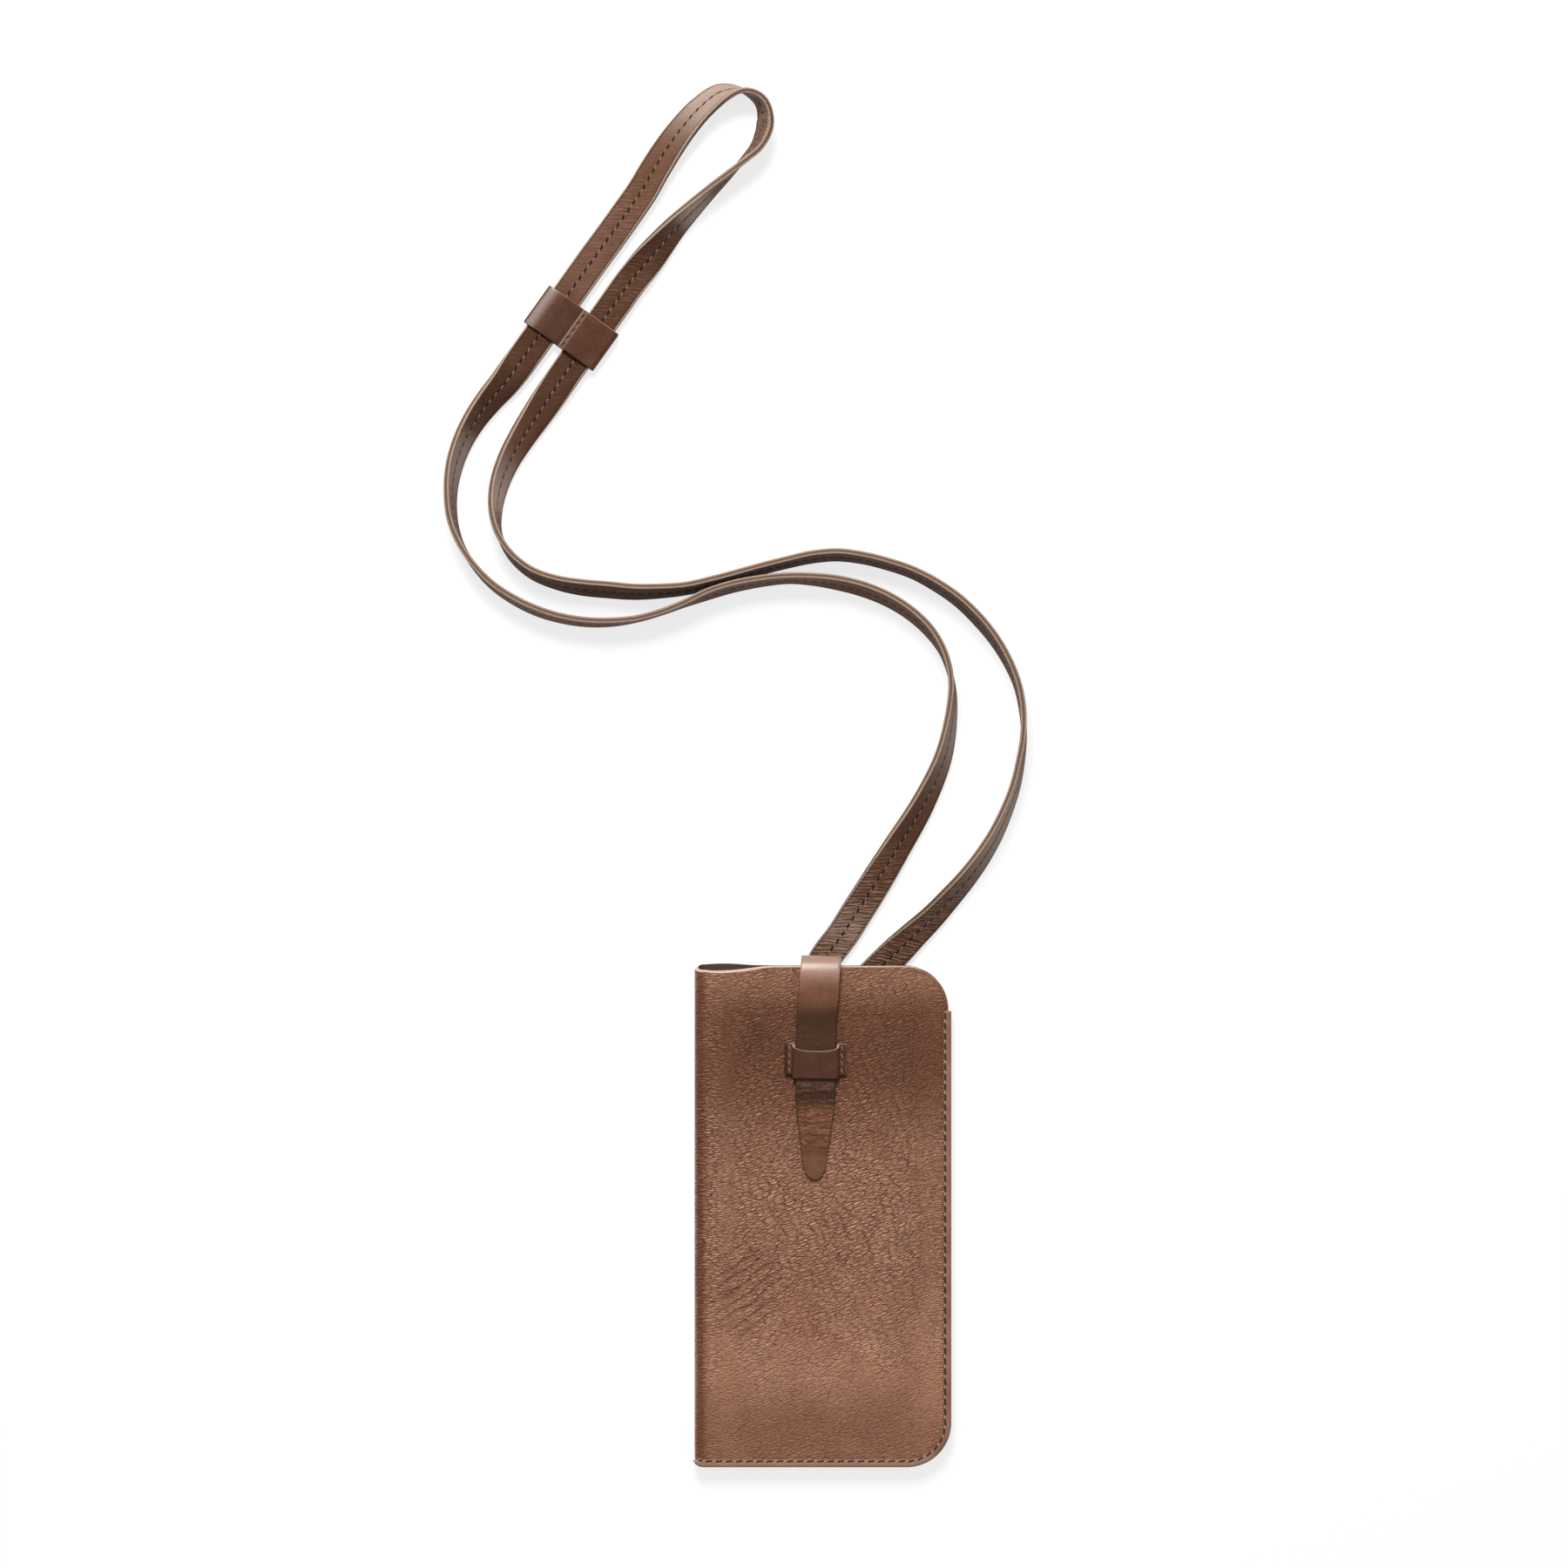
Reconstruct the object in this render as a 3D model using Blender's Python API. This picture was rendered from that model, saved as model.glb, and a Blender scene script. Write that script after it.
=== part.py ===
"""Soft leather glasses case with a tuck-in tongue and a neck strap.

The case lies on its back. +X is to the right of the front panel, +Y is toward
the mouth and +Z is up, away from the table. The origin is under the middle of
the case, at table height. All sizes are in metres and all angles in degrees.
"""
import math

import bmesh
import bpy
import numpy as np

# Clearance left between pieces that touch
GAP = 0.0003

# Folded leather sheet: front panel, fold and back panel in one
SHEET_T = 0.0013
PANEL_W = 0.0901
PANEL_H = 0.1770
CASE_DEPTH = 0.0100
FOLD_DEPTH = 0.0080
MOUTH_DEPTH = 0.0094
SEW_MARGIN = 0.0030
SIDE_RAMP = 0.022
BOTTOM_RAMP = 0.030
FOLD_RAMP = 0.016
MOUTH_RAMP = 0.026
BOTTOM_CORNER_R = 0.0149
MOUTH_CORNER_R = 0.0155
FOLD_CORNER_R = 0.0030
MOUTH_DIP = 0.0022
MOUTH_DIP_AT = 0.0078
MOUTH_DIP_RUN = 0.0210

# Narrow strip folded over the raw edges of the side and bottom seams
BINDING_T = 0.0007
BINDING_COVER = 0.00185
BINDING_LIFT = 0.0021
BINDING_SIDE_LEN = 0.1608
BINDING_END_TURN = 60.0

# Closure tongue, straight through its loop, drifting right toward the mouth
TONGUE_T = 0.0012
TONGUE_W = 0.0140
TONGUE_TOP_W = 0.0141
TONGUE_TIP_W = 0.0078
TONGUE_TAPER = 0.0275
TONGUE_LEN = 0.0755
TONGUE_TILT = 0.71
TONGUE_X_AT_MOUTH = -0.0020
TONGUE_REACH = 0.0036
TONGUE_SWAY = 0.0016
SWAY_FROM_LOOP = 0.0016
ARCH_RISE = 0.0016
ARCH_FROM_LOOP = 0.0020
BEND_FRONT_RUN = 0.0100
BEND_FRONT_FULLNESS = 2.2
BEND_RUN = 0.0038
BEND_FULLNESS = 2.8
ROOT_LEN = 0.0260

# Keeper loop on the front panel
LOOP_T = 0.0009
LOOP_LEN = 0.0111
LOOP_TAB = 0.00275
LOOP_FROM_MOUTH = 0.0329
LOOP_SIDE_PLAY = 0.00035
LOOP_TOP_PLAY = 0.00035
LOOP_CORNER_R = 0.0009
LOOP_LEAN = 0.0012
LOOP_ARC = 0.0014

# Neck strap, a flat folded strap that stands on its edge in its curves
STRAP_W = 0.0114
STRAP_T = 0.0021
STRAP_EDGE_R = 0.0007
STRAP_STEP = 0.0050
LAP_LEN = 0.0080
LAP_SKIN = 0.0005

# Slider that holds the two legs of the strap side by side
SLIDER_LEN = 0.0159
SLIDER_T = 0.0010
SLIDER_END_T = 0.00135
SLIDER_WEB = 0.0032
SLIDER_PLAY = 0.0004
SLIDER_LAP = 0.0060
SLIDER_ANGLE = 54.5
SLIDER_FROM_MOUTH = (-0.0893, 0.2265)
SLIDER_UP = 0.0150
SLIDER_DOWN = 0.0040
SLIDER_LEAD = 0.0022

# Route of the strap from its left end to its right end, as it lies on the
# table: x and y from the middle of the mouth, then the lean of the strap.
# At a lean of 0 it lies flat, and at 90 or -90 it stands on its edge.
LEFT_LEG = [
    (-0.0039, -0.0071, 0), (0.0014, 0.0029, 0), (0.0071, 0.0105, 0),
    (0.0122, 0.0186, 5), (0.0172, 0.0265, 13), (0.0266, 0.0420, 32),
    (0.0360, 0.0580, 48), (0.0432, 0.0751, 63), (0.0461, 0.0939, 79),
    (0.0455, 0.1030, 88), (0.0427, 0.1116, 94), (0.0376, 0.1191, 101),
    (0.0309, 0.1252, 104), (0.0231, 0.1300, 106), (0.0145, 0.1335, 107),
    (0.0059, 0.1357, 106), (-0.0031, 0.1370, 102), (-0.0124, 0.1374, 99),
    (-0.0223, 0.1363, 100), (-0.0315, 0.1345, 101), (-0.0399, 0.1320, 100),
    (-0.0491, 0.1284, 92), (-0.0569, 0.1255, 90), (-0.0659, 0.1230, 91),
    (-0.0752, 0.1218, 95), (-0.0842, 0.1219, 97), (-0.0934, 0.1234, 98),
    (-0.1020, 0.1261, 99), (-0.1104, 0.1303, 98), (-0.1178, 0.1356, 96),
    (-0.1241, 0.1426, 93), (-0.1288, 0.1504, 89), (-0.1314, 0.1589, 83),
    (-0.1319, 0.1683, 78), (-0.1307, 0.1769, 71), (-0.1278, 0.1855, 64),
    (-0.1236, 0.1933, 56), (-0.1182, 0.2009, 46), (-0.1128, 0.2073, 34),
]
TOP_LOOP = [
    (-0.0746, 0.2591, -8), (-0.0695, 0.2669, -12), (-0.0642, 0.2751, -14),
    (-0.0595, 0.2829, -18), (-0.0546, 0.2905, -24), (-0.0494, 0.2975, -31),
    (-0.0432, 0.3043, -38), (-0.0358, 0.3096, -50), (-0.0274, 0.3102, -84),
    (-0.0216, 0.3062, -103), (-0.0202, 0.2978, -114), (-0.0231, 0.2909, -110),
    (-0.0267, 0.2869, -103), (-0.0329, 0.2809, -91), (-0.0399, 0.2744, -80),
    (-0.0462, 0.2680, -69), (-0.0524, 0.2614, -58), (-0.0578, 0.2547, -44),
    (-0.0626, 0.2486, -24),
]
RIGHT_LEG = [
    (-0.0959, 0.2026, -16), (-0.1014, 0.1948, -37), (-0.1068, 0.1872, -48),
    (-0.1114, 0.1791, -56), (-0.1146, 0.1708, -65), (-0.1160, 0.1623, -76),
    (-0.1150, 0.1536, -89), (-0.1105, 0.1456, -97), (-0.1034, 0.1395, -102),
    (-0.0943, 0.1359, -106), (-0.0855, 0.1342, -110), (-0.0759, 0.1333, -111),
    (-0.0666, 0.1326, -109), (-0.0573, 0.1329, -106), (-0.0482, 0.1338, -103),
    (-0.0392, 0.1359, -102), (-0.0304, 0.1383, -101), (-0.0214, 0.1408, -101),
    (-0.0123, 0.1431, -101), (-0.0034, 0.1450, -102), (0.0056, 0.1457, -102),
    (0.0146, 0.1446, -101), (0.0234, 0.1424, -101), (0.0319, 0.1395, -101),
    (0.0399, 0.1353, -102), (0.0478, 0.1299, -102), (0.0544, 0.1237, -102),
    (0.0606, 0.1163, -100), (0.0654, 0.1086, -97), (0.0692, 0.0998, -93),
    (0.0710, 0.0911, -90), (0.0714, 0.0820, -85), (0.0703, 0.0727, -80),
    (0.0684, 0.0636, -76), (0.0653, 0.0548, -72), (0.0613, 0.0461, -67),
    (0.0566, 0.0383, -62), (0.0511, 0.0308, -57), (0.0450, 0.0237, -51),
    (0.0389, 0.0170, -44), (0.0321, 0.0104, -32), (0.0222, 0.0005, -6),
    (0.0127, -0.0091, 0), (0.0025, -0.0196, 0),
]


def ease(t):
    """Smooth step from 0 to 1 with flat ends."""
    t = min(1.0, max(0.0, t))
    return t * t * t * (t * (t * 6.0 - 15.0) + 10.0)


def mix(a, b, t):
    return a + (b - a) * t


def unit(v):
    return v / np.linalg.norm(v)


# Levels and outlines that follow from the sizes above
BINDING_OUT = GAP + BINDING_T
SEAM_HALF = SHEET_T + GAP / 2.0
SEAM_Z = BINDING_LIFT + BINDING_T + GAP + SEAM_HALF
FOLD_TOP = SEAM_Z + FOLD_DEPTH / 2.0
FOLD_LOW = SEAM_Z - FOLD_DEPTH / 2.0
STACK_Z = STRAP_T + GAP + TONGUE_T + GAP
ROOT_Z = STRAP_T + GAP + TONGUE_T / 2.0
FRONT_LEG_Z = CASE_DEPTH + GAP + TONGUE_T / 2.0

END_TURN = math.radians(BINDING_END_TURN)
BINDING_PAST_FOLD = (FOLD_CORNER_R + BINDING_OUT) * math.sin(END_TURN) - FOLD_CORNER_R
WHOLE_W = PANEL_W + BINDING_OUT + BINDING_PAST_FOLD
WHOLE_H = PANEL_H + BINDING_OUT + TONGUE_REACH
SIDE_X = WHOLE_W / 2.0 - BINDING_OUT
FOLD_X = SIDE_X - PANEL_W
BOTTOM_Y = -WHOLE_H / 2.0 + BINDING_OUT
MOUTH_Y = BOTTOM_Y + PANEL_H

TILT = math.radians(TONGUE_TILT)
TONGUE_DIR = (math.sin(TILT), math.cos(TILT))
TONGUE_HALF_AT_MOUTH = TONGUE_TOP_W / 2.0
STACK_LEFT = TONGUE_X_AT_MOUTH + TONGUE_SWAY - TONGUE_HALF_AT_MOUTH - 0.0020
STACK_RIGHT = TONGUE_X_AT_MOUTH + TONGUE_SWAY + TONGUE_HALF_AT_MOUTH + 0.0010
STACK_LOW_Y = MOUTH_Y - ROOT_LEN - BEND_RUN - 0.0040
STACK_RAMP = 0.026


def stack_level(x):
    """Height of the back panel's outer face along the mouth."""
    knots = [
        (FOLD_X, FOLD_LOW), (FOLD_X + 0.018, FOLD_LOW + 0.0002),
        (STACK_LEFT, STACK_Z), (STACK_RIGHT, STACK_Z),
        (mix(STACK_RIGHT, SIDE_X, 0.72), max(STRAP_T + GAP, SEAM_Z - SEAM_HALF)),
        (SIDE_X, SEAM_Z - SEAM_HALF),
    ]
    if x <= knots[0][0]:
        return knots[0][1]
    for (xa, za), (xb, zb) in zip(knots, knots[1:]):
        if x <= xb:
            return mix(za, zb, ease((x - xa) / (xb - xa)))
    return knots[-1][1]


def sewn(x, y):
    """0 along the sewn side and bottom, 1 clear of them."""
    side = ease((SIDE_X - x - SEW_MARGIN) / SIDE_RAMP)
    bottom = ease((y - BOTTOM_Y - SEW_MARGIN) / BOTTOM_RAMP)
    return side * bottom


def front_top(x, y):
    """Height of the front panel's outer face."""
    crown = mix(MOUTH_DEPTH, CASE_DEPTH, ease((MOUTH_Y - y) / MOUTH_RAMP))
    free = mix(FOLD_TOP, crown, ease((x - FOLD_X - FOLD_DEPTH / 2.0) / FOLD_RAMP))
    return mix(SEAM_Z + SEAM_HALF, free, sewn(x, y))


def back_low(x, y):
    """Height of the back panel's outer face."""
    free = mix(FOLD_LOW, 0.0, ease((x - FOLD_X - FOLD_DEPTH / 2.0) / FOLD_RAMP))
    base = mix(SEAM_Z - SEAM_HALF, free, sewn(x, y))
    return mix(base, stack_level(x), ease((y - STACK_LOW_Y + STACK_RAMP) / STACK_RAMP))


def front_dip(x):
    """How far the front panel's mouth edge sags below the back one."""
    run = x - FOLD_X - MOUTH_DIP_AT
    if run < 0.0:
        return MOUTH_DIP * (1.0 - 0.3 * ease(-run / MOUTH_DIP_AT))
    return MOUTH_DIP * (1.0 - ease(run / MOUTH_DIP_RUN))


def back_dip(x):
    return 0.2 * MOUTH_DIP * (1.0 - ease((x - FOLD_X) / 0.010))


def slope(surface, x, y):
    d = 0.00002
    return ((surface(x + d, y) - surface(x - d, y)) / (2.0 * d),
            (surface(x, y + d) - surface(x, y - d)) / (2.0 * d))


def clear_scene():
    for ob in list(bpy.data.objects):
        bpy.data.objects.remove(ob, do_unlink=True)


def leather(name, colour, roughness):
    mat = bpy.data.materials.new(name)
    mat.use_nodes = True
    shader = mat.node_tree.nodes["Principled BSDF"]
    shader.inputs["Base Color"].default_value = (*colour, 1.0)
    shader.inputs["Roughness"].default_value = roughness
    shader.inputs["Metallic"].default_value = 0.0
    mat.diffuse_color = (*colour, 1.0)
    return mat


def add_piece(name, bm, mat, parent=None, smooth_to=40.0):
    """Object from a closed mesh, its faces turned outward."""
    bmesh.ops.recalc_face_normals(bm, faces=bm.faces)
    mesh = bpy.data.meshes.new(name)
    bm.to_mesh(mesh)
    bm.free()
    mesh.materials.append(mat)
    for poly in mesh.polygons:
        poly.use_smooth = True
    mesh.set_sharp_from_angle(angle=math.radians(smooth_to))
    ob = bpy.data.objects.new(name, mesh)
    bpy.context.collection.objects.link(ob)
    ob.parent = parent
    return ob


def mesh_of(verts, faces):
    bm = bmesh.new()
    points = [bm.verts.new(tuple(v)) for v in verts]
    for face in faces:
        bm.faces.new([points[k] for k in face])
    return bm


def add_axis(name, location, turn=0.0):
    axis = bpy.data.objects.new(name, None)
    bpy.context.collection.objects.link(axis)
    axis.empty_display_size = 0.01
    axis.location = location
    axis.rotation_euler = (0.0, 0.0, math.radians(turn))
    return axis


def skin(rings, cap):
    """Closed body through equal rings of points, with both ends capped.

    cap lists the end faces by their point numbers in one ring.
    """
    rings = np.asarray(rings)
    count = rings.shape[1]
    verts = rings.reshape(-1, 3)
    faces = []
    for i in range(len(rings) - 1):
        a = i * count
        b = a + count
        for k in range(count):
            n = (k + 1) % count
            faces.append((a + k, a + n, b + n, b + k))
    last = (len(rings) - 1) * count
    for face in cap:
        faces.append(tuple(reversed(face)))
        faces.append(tuple(last + k for k in face))
    return mesh_of(verts, faces)


def rounded_bar(half_w, low, high, edge):
    """Points of a flat bar's section, across then through, with cut corners."""
    e = min(edge, half_w * 0.45, (high - low) * 0.45)
    return [
        (half_w, low + e), (half_w, high - e), (half_w - e, high),
        (e - half_w, high), (-half_w, high - e), (-half_w, low + e),
        (e - half_w, low), (half_w - e, low),
    ]


def shell_rows():
    """Height, left edge and right edge of each row, from bottom to mouth."""
    rows = []
    r = BOTTOM_CORNER_R
    for i in range(11):
        a = math.radians(90.0 * i / 10.0)
        rows.append((BOTTOM_Y + r * (1.0 - math.cos(a)), SIDE_X - r * (1.0 - math.sin(a))))
    top = MOUTH_Y - MOUTH_CORNER_R
    steps = 22
    low = rows[-1][0]
    for i in range(1, steps):
        rows.append((mix(low, top, i / steps), SIDE_X))
    for i in range(9):
        a = math.radians(90.0 * i / 8.0)
        r = MOUTH_CORNER_R
        rows.append((top + r * math.sin(a), SIDE_X - r * (1.0 - math.cos(a))))
    return rows


def fold_edge(y):
    """Left edge of the sheet, rounded at its bottom corner."""
    up = y - BOTTOM_Y
    if up >= FOLD_CORNER_R:
        return FOLD_X
    drop = FOLD_CORNER_R - up
    return FOLD_X + FOLD_CORNER_R - math.sqrt(max(0.0, FOLD_CORNER_R ** 2 - drop ** 2))


def case_shell(mat):
    """One sheet folded at the left, front and back panel in one body."""
    half = SHEET_T / 2.0
    across = 18
    turn = 10
    mids = []
    normals = []
    for y, side in shell_rows():
        weight = ease((y - MOUTH_Y + 0.035) / 0.035)
        edge = fold_edge(y)
        probe = edge + FOLD_DEPTH / 2.0
        radius = (front_top(probe, y) - back_low(probe, y)) / 2.0 - half
        start = edge + half + radius
        line = []
        norm = []
        for k in range(across + 1):
            x = mix(side, start, k / across)
            sx, sy = slope(back_low, x, y)
            n = unit(np.array([sx, sy, -1.0]))
            line.append((x, y - weight * back_dip(x), back_low(x, y) + half))
            norm.append(n)
        low = line[-1]
        low_n = norm[-1]
        zt = front_top(start, y) - half
        zb = low[2]
        sx, sy = slope(front_top, start, y)
        top_n = unit(np.array([-sx, -sy, 1.0]))
        for k in range(1, turn):
            a = math.radians(-90.0 + 180.0 * k / turn)
            t = ease(k / turn)
            dip = mix(back_dip(start), front_dip(start), t)
            line.append((start - radius * math.cos(a), y - weight * dip,
                         (zt + zb) / 2.0 + (zt - zb) / 2.0 * math.sin(a)))
            tip = mix(low_n[1], top_n[1], t) * abs(math.sin(a))
            norm.append(unit(np.array([-math.cos(a), tip, math.sin(a)])))
        for k in range(across + 1):
            x = mix(start, side, k / across)
            sx, sy = slope(front_top, x, y)
            line.append((x, y - weight * front_dip(x), front_top(x, y) - half))
            norm.append(unit(np.array([-sx, -sy, 1.0])))
        mids.append(line)
        normals.append(norm)
    mids = np.array(mids)
    normals = np.array(normals)
    outer = mids + normals * half
    inner = mids - normals * half
    rows, cols = mids.shape[:2]
    verts = np.concatenate([outer.reshape(-1, 3), inner.reshape(-1, 3)])
    shift = rows * cols
    faces = []
    for i in range(rows - 1):
        for k in range(cols - 1):
            a = i * cols + k
            quad = (a, a + cols, a + cols + 1, a + 1)
            faces.append(quad)
            faces.append(tuple(shift + q for q in reversed(quad)))
    for k in range(cols - 1):
        faces.append((k, k + 1, shift + k + 1, shift + k))
        a = (rows - 1) * cols + k
        faces.append((a + 1, a, shift + a, shift + a + 1))
    for i in range(rows - 1):
        a = i * cols
        faces.append((a + cols, a, shift + a, shift + a + cols))
        b = a + cols - 1
        faces.append((b, b + cols, shift + b + cols, shift + b))
    return add_piece("case_shell", mesh_of(verts, faces), mat, smooth_to=50.0)


def binding_path():
    """Points and outward directions along the raw edge under the strip."""
    path = []
    top = BOTTOM_Y + BINDING_SIDE_LEN
    corner = (SIDE_X - BOTTOM_CORNER_R, BOTTOM_Y + BOTTOM_CORNER_R)
    for i in range(9):
        path.append(((SIDE_X, mix(top, corner[1], i / 8.0)), (1.0, 0.0)))
    for i in range(1, 11):
        a = math.radians(90.0 * i / 10.0)
        out = (math.cos(a), -math.sin(a))
        path.append(((corner[0] + BOTTOM_CORNER_R * out[0],
                      corner[1] + BOTTOM_CORNER_R * out[1]), out))
    left = (FOLD_X + FOLD_CORNER_R, BOTTOM_Y + FOLD_CORNER_R)
    for i in range(1, 6):
        path.append(((mix(corner[0], left[0], i / 5.0), BOTTOM_Y), (0.0, -1.0)))
    for i in range(1, 6):
        a = END_TURN * i / 5.0
        out = (-math.sin(a), -math.cos(a))
        path.append(((left[0] + FOLD_CORNER_R * out[0],
                      left[1] + FOLD_CORNER_R * out[1]), out))
    return path


def seam_binding(mat):
    """Channel-shaped strip round the raw edges, open toward the case."""
    inner_h = SEAM_HALF + GAP
    outer_h = inner_h + BINDING_T
    bend = min(0.0009, outer_h * 0.5)
    outside = [(-BINDING_COVER, outer_h)]
    inside = [(-BINDING_COVER, inner_h)]
    for i in range(4):
        a = math.radians(90.0 * i / 3.0)
        outside.append((BINDING_OUT - bend + bend * math.sin(a),
                        outer_h - bend + bend * math.cos(a)))
        inside.append((GAP - 0.00015 + 0.00015 * math.sin(a),
                       inner_h - 0.00015 + 0.00015 * math.cos(a)))
    outside += [(o, -z) for o, z in reversed(outside)]
    inside += [(o, -z) for o, z in reversed(inside)]
    section = outside + inside[::-1]
    count = len(outside)
    total = len(section)
    cap = [(k, k + 1, total - 2 - k, total - 1 - k) for k in range(count - 1)]
    rings = []
    for (x, y), (nx, ny) in binding_path():
        rings.append([(x + nx * o, y + ny * o, SEAM_Z + z) for o, z in section])
    return add_piece("seam_binding", skin(rings, cap), mat, smooth_to=35.0)


def tongue_half_width(from_tip):
    """Half width of the tongue at a distance from its tip."""
    tip = TONGUE_TIP_W / 2.0
    if from_tip < tip:
        sag = 1.0 - from_tip / tip
        return tip * (0.30 + 0.70 * math.sqrt(max(0.0, 1.0 - sag ** 1.6)))
    share = (from_tip - tip) / (TONGUE_TAPER - tip)
    if share > 0.875:
        share = 1.0 - 2.0 * max(0.0, 1.125 - share) ** 2
    body = mix(tip, TONGUE_W / 2.0, share)
    wide = ease((from_tip - TONGUE_TAPER) / (TONGUE_LEN - TONGUE_TAPER))
    return mix(body, max(body, TONGUE_TOP_W / 2.0), wide)


def ribbon(stations, thick, edge):
    """Flat strap through stations of (along, height, lean, half width, drift)."""
    rings = []
    for along, z, lean, half, drift in stations:
        c, s = math.cos(lean), math.sin(lean)
        ring = []
        for w, t in rounded_bar(half, -thick / 2.0, thick / 2.0, edge):
            ring.append((drift + w, along - s * t, z + c * t))
        rings.append(ring)
    return skin(rings, [tuple(range(8))])


def arch(from_tip):
    """How far the tongue bows up from the panel between the loop and its bend."""
    start = TONGUE_LEN - LOOP_FROM_MOUTH + LOOP_LEN / 2.0 + ARCH_FROM_LOOP
    end = TONGUE_LEN + TONGUE_REACH - BEND_FRONT_RUN
    return ARCH_RISE * ease((from_tip - start) / (end - start))


def sway(from_tip):
    """How far the tongue has drifted to the right of its own straight line."""
    start = TONGUE_LEN - LOOP_FROM_MOUTH + LOOP_LEN / 2.0 + SWAY_FROM_LOOP
    end = TONGUE_LEN + TONGUE_REACH - TONGUE_T / 2.0
    return TONGUE_SWAY * min(1.0, max(0.0, (from_tip - start) / (end - start))) ** 1.7


def bend_half(upper):
    """Stations of the bend over the mouth, its upper or its lower half."""
    top = FRONT_LEG_Z + ARCH_RISE
    middle = (top + ROOT_Z) / 2.0
    rise = (top - ROOT_Z) / 2.0 * (1.0 if upper else -1.0)
    front = BEND_FRONT_RUN if upper else BEND_RUN
    power = 2.0 / (BEND_FRONT_FULLNESS if upper else BEND_FULLNESS)
    run = front - TONGUE_T / 2.0
    straight = TONGUE_LEN + TONGUE_REACH - front
    steps = 10
    points = []
    for i in range(steps + 1):
        a = math.radians(90.0 * i / steps)
        points.append((straight + run * math.sin(a) ** power,
                       middle + rise * max(0.0, math.cos(a)) ** power))
    stations = []
    for i, (along, z) in enumerate(points):
        before = points[max(i - 1, 0)]
        after = points[min(i + 1, steps)]
        lean = math.atan2(after[1] - before[1], after[0] - before[0])
        if i == 0:
            lean = 0.0
        if i == steps:
            lean = math.copysign(math.pi / 2.0, lean)
            z += math.copysign(GAP / 2.0, rise)
        drift = sway(along) if upper else TONGUE_SWAY
        stations.append((along, z, lean, TONGUE_TOP_W / 2.0, drift))
    return stations


def closure_tongue(mat, axis):
    """Front leg and the upper half of the bend, in the tongue's own line."""
    stations = []
    tip = TONGUE_TIP_W / 2.0
    for f in (0.0, 0.06, 0.16, 0.32, 0.55, 0.8, 1.0):
        d = f * tip
        stations.append((d, FRONT_LEG_Z, 0.0, tongue_half_width(d), 0.0))
    for i in range(1, 7):
        d = mix(tip, TONGUE_TAPER, i / 6.0)
        stations.append((d, FRONT_LEG_Z, 0.0, tongue_half_width(d), 0.0))
    bend = bend_half(True)
    steps = 14
    for i in range(1, steps):
        d = mix(TONGUE_TAPER, bend[0][0], i / steps)
        lean = math.atan((arch(d + 0.0001) - arch(d - 0.0001)) / 0.0002)
        stations.append((d, FRONT_LEG_Z + arch(d), lean, tongue_half_width(d), sway(d)))
    return add_piece("closure_tongue", ribbon(stations + bend, TONGUE_T, 0.00025), mat, axis)


def tongue_root(mat, axis):
    """Lower half of the bend and the leg sewn to the back panel behind the mouth."""
    stations = bend_half(False)
    straight = stations[0][0]
    for i in range(1, 7):
        d = straight - ROOT_LEN * i / 6.0
        stations.insert(0, (d, ROOT_Z, 0.0, TONGUE_TOP_W / 2.0, TONGUE_SWAY))
    return add_piece("tongue_root", ribbon(stations, TONGUE_T, 0.00025), mat, axis)


def keeper_loop(mat, axis):
    """Band with a sewn tab at each side and a raised bridge between them."""
    half = LOOP_T / 2.0
    inner = TONGUE_W / 2.0 + LOOP_SIDE_PLAY
    wall = inner + half
    low = CASE_DEPTH + GAP + half
    high = CASE_DEPTH + GAP + TONGUE_T + LOOP_TOP_PLAY + half
    r = min(LOOP_CORNER_R, (high - low) * 0.48)
    path = [(wall + half + LOOP_TAB, low, 0.0), (wall + 0.6 * LOOP_TAB, low, 0.0),
            (wall + r, low, 0.0)]
    for i in range(1, 5):
        a = math.radians(90.0 * i / 4.0)
        path.append((wall + r - r * math.sin(a), low + r - r * math.cos(a), a))
    for i in range(0, 5):
        a = math.radians(90.0 * i / 4.0)
        path.append((wall - r + r * math.cos(a), high - r + r * math.sin(a),
                     math.radians(90.0) - a))
    path.append((wall * 0.72, high, 0.0))
    path.append((wall * 0.4, high, 0.0))
    path.append((0.0, high, 0.0))
    path += [(-x, z, -a) for x, z, a in reversed(path[:-1])]
    centre = MOUTH_Y - LOOP_FROM_MOUTH
    tip_y = MOUTH_Y - TONGUE_LEN
    rings = []
    for x, z, a in path:
        nx, nz = math.sin(a), math.cos(a)
        ring = []
        for y, t in rounded_bar(LOOP_LEN / 2.0, -half, half, 0.0002):
            lift = ease((z - low) / (high - low))
            arc = LOOP_ARC * max(0.0, 1.0 - abs(x / wall) ** 3) if y > 0.0 else 0.0
            y -= (LOOP_LEAN + arc) * lift
            ring.append((x + nx * t, centre - tip_y + y, z + nz * t))
        rings.append(ring)
    return add_piece("keeper_loop", skin(rings, [tuple(range(8))]), mat, axis)


def slider_levels():
    """Half pitch of the passages, and their low and high levels."""
    passage = STRAP_W + 2.0 * SLIDER_PLAY
    low = SLIDER_T
    return (passage + SLIDER_WEB) / 2.0, passage / 2.0, low, low + STRAP_T + 2.0 * GAP


def slider_frame():
    """Middle of the slider, the strap's direction and the way across."""
    a = math.radians(SLIDER_ANGLE)
    middle = (SLIDER_FROM_MOUTH[0], MOUTH_Y + SLIDER_FROM_MOUTH[1])
    return middle, (math.cos(a), math.sin(a)), (math.sin(a), -math.cos(a))


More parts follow.
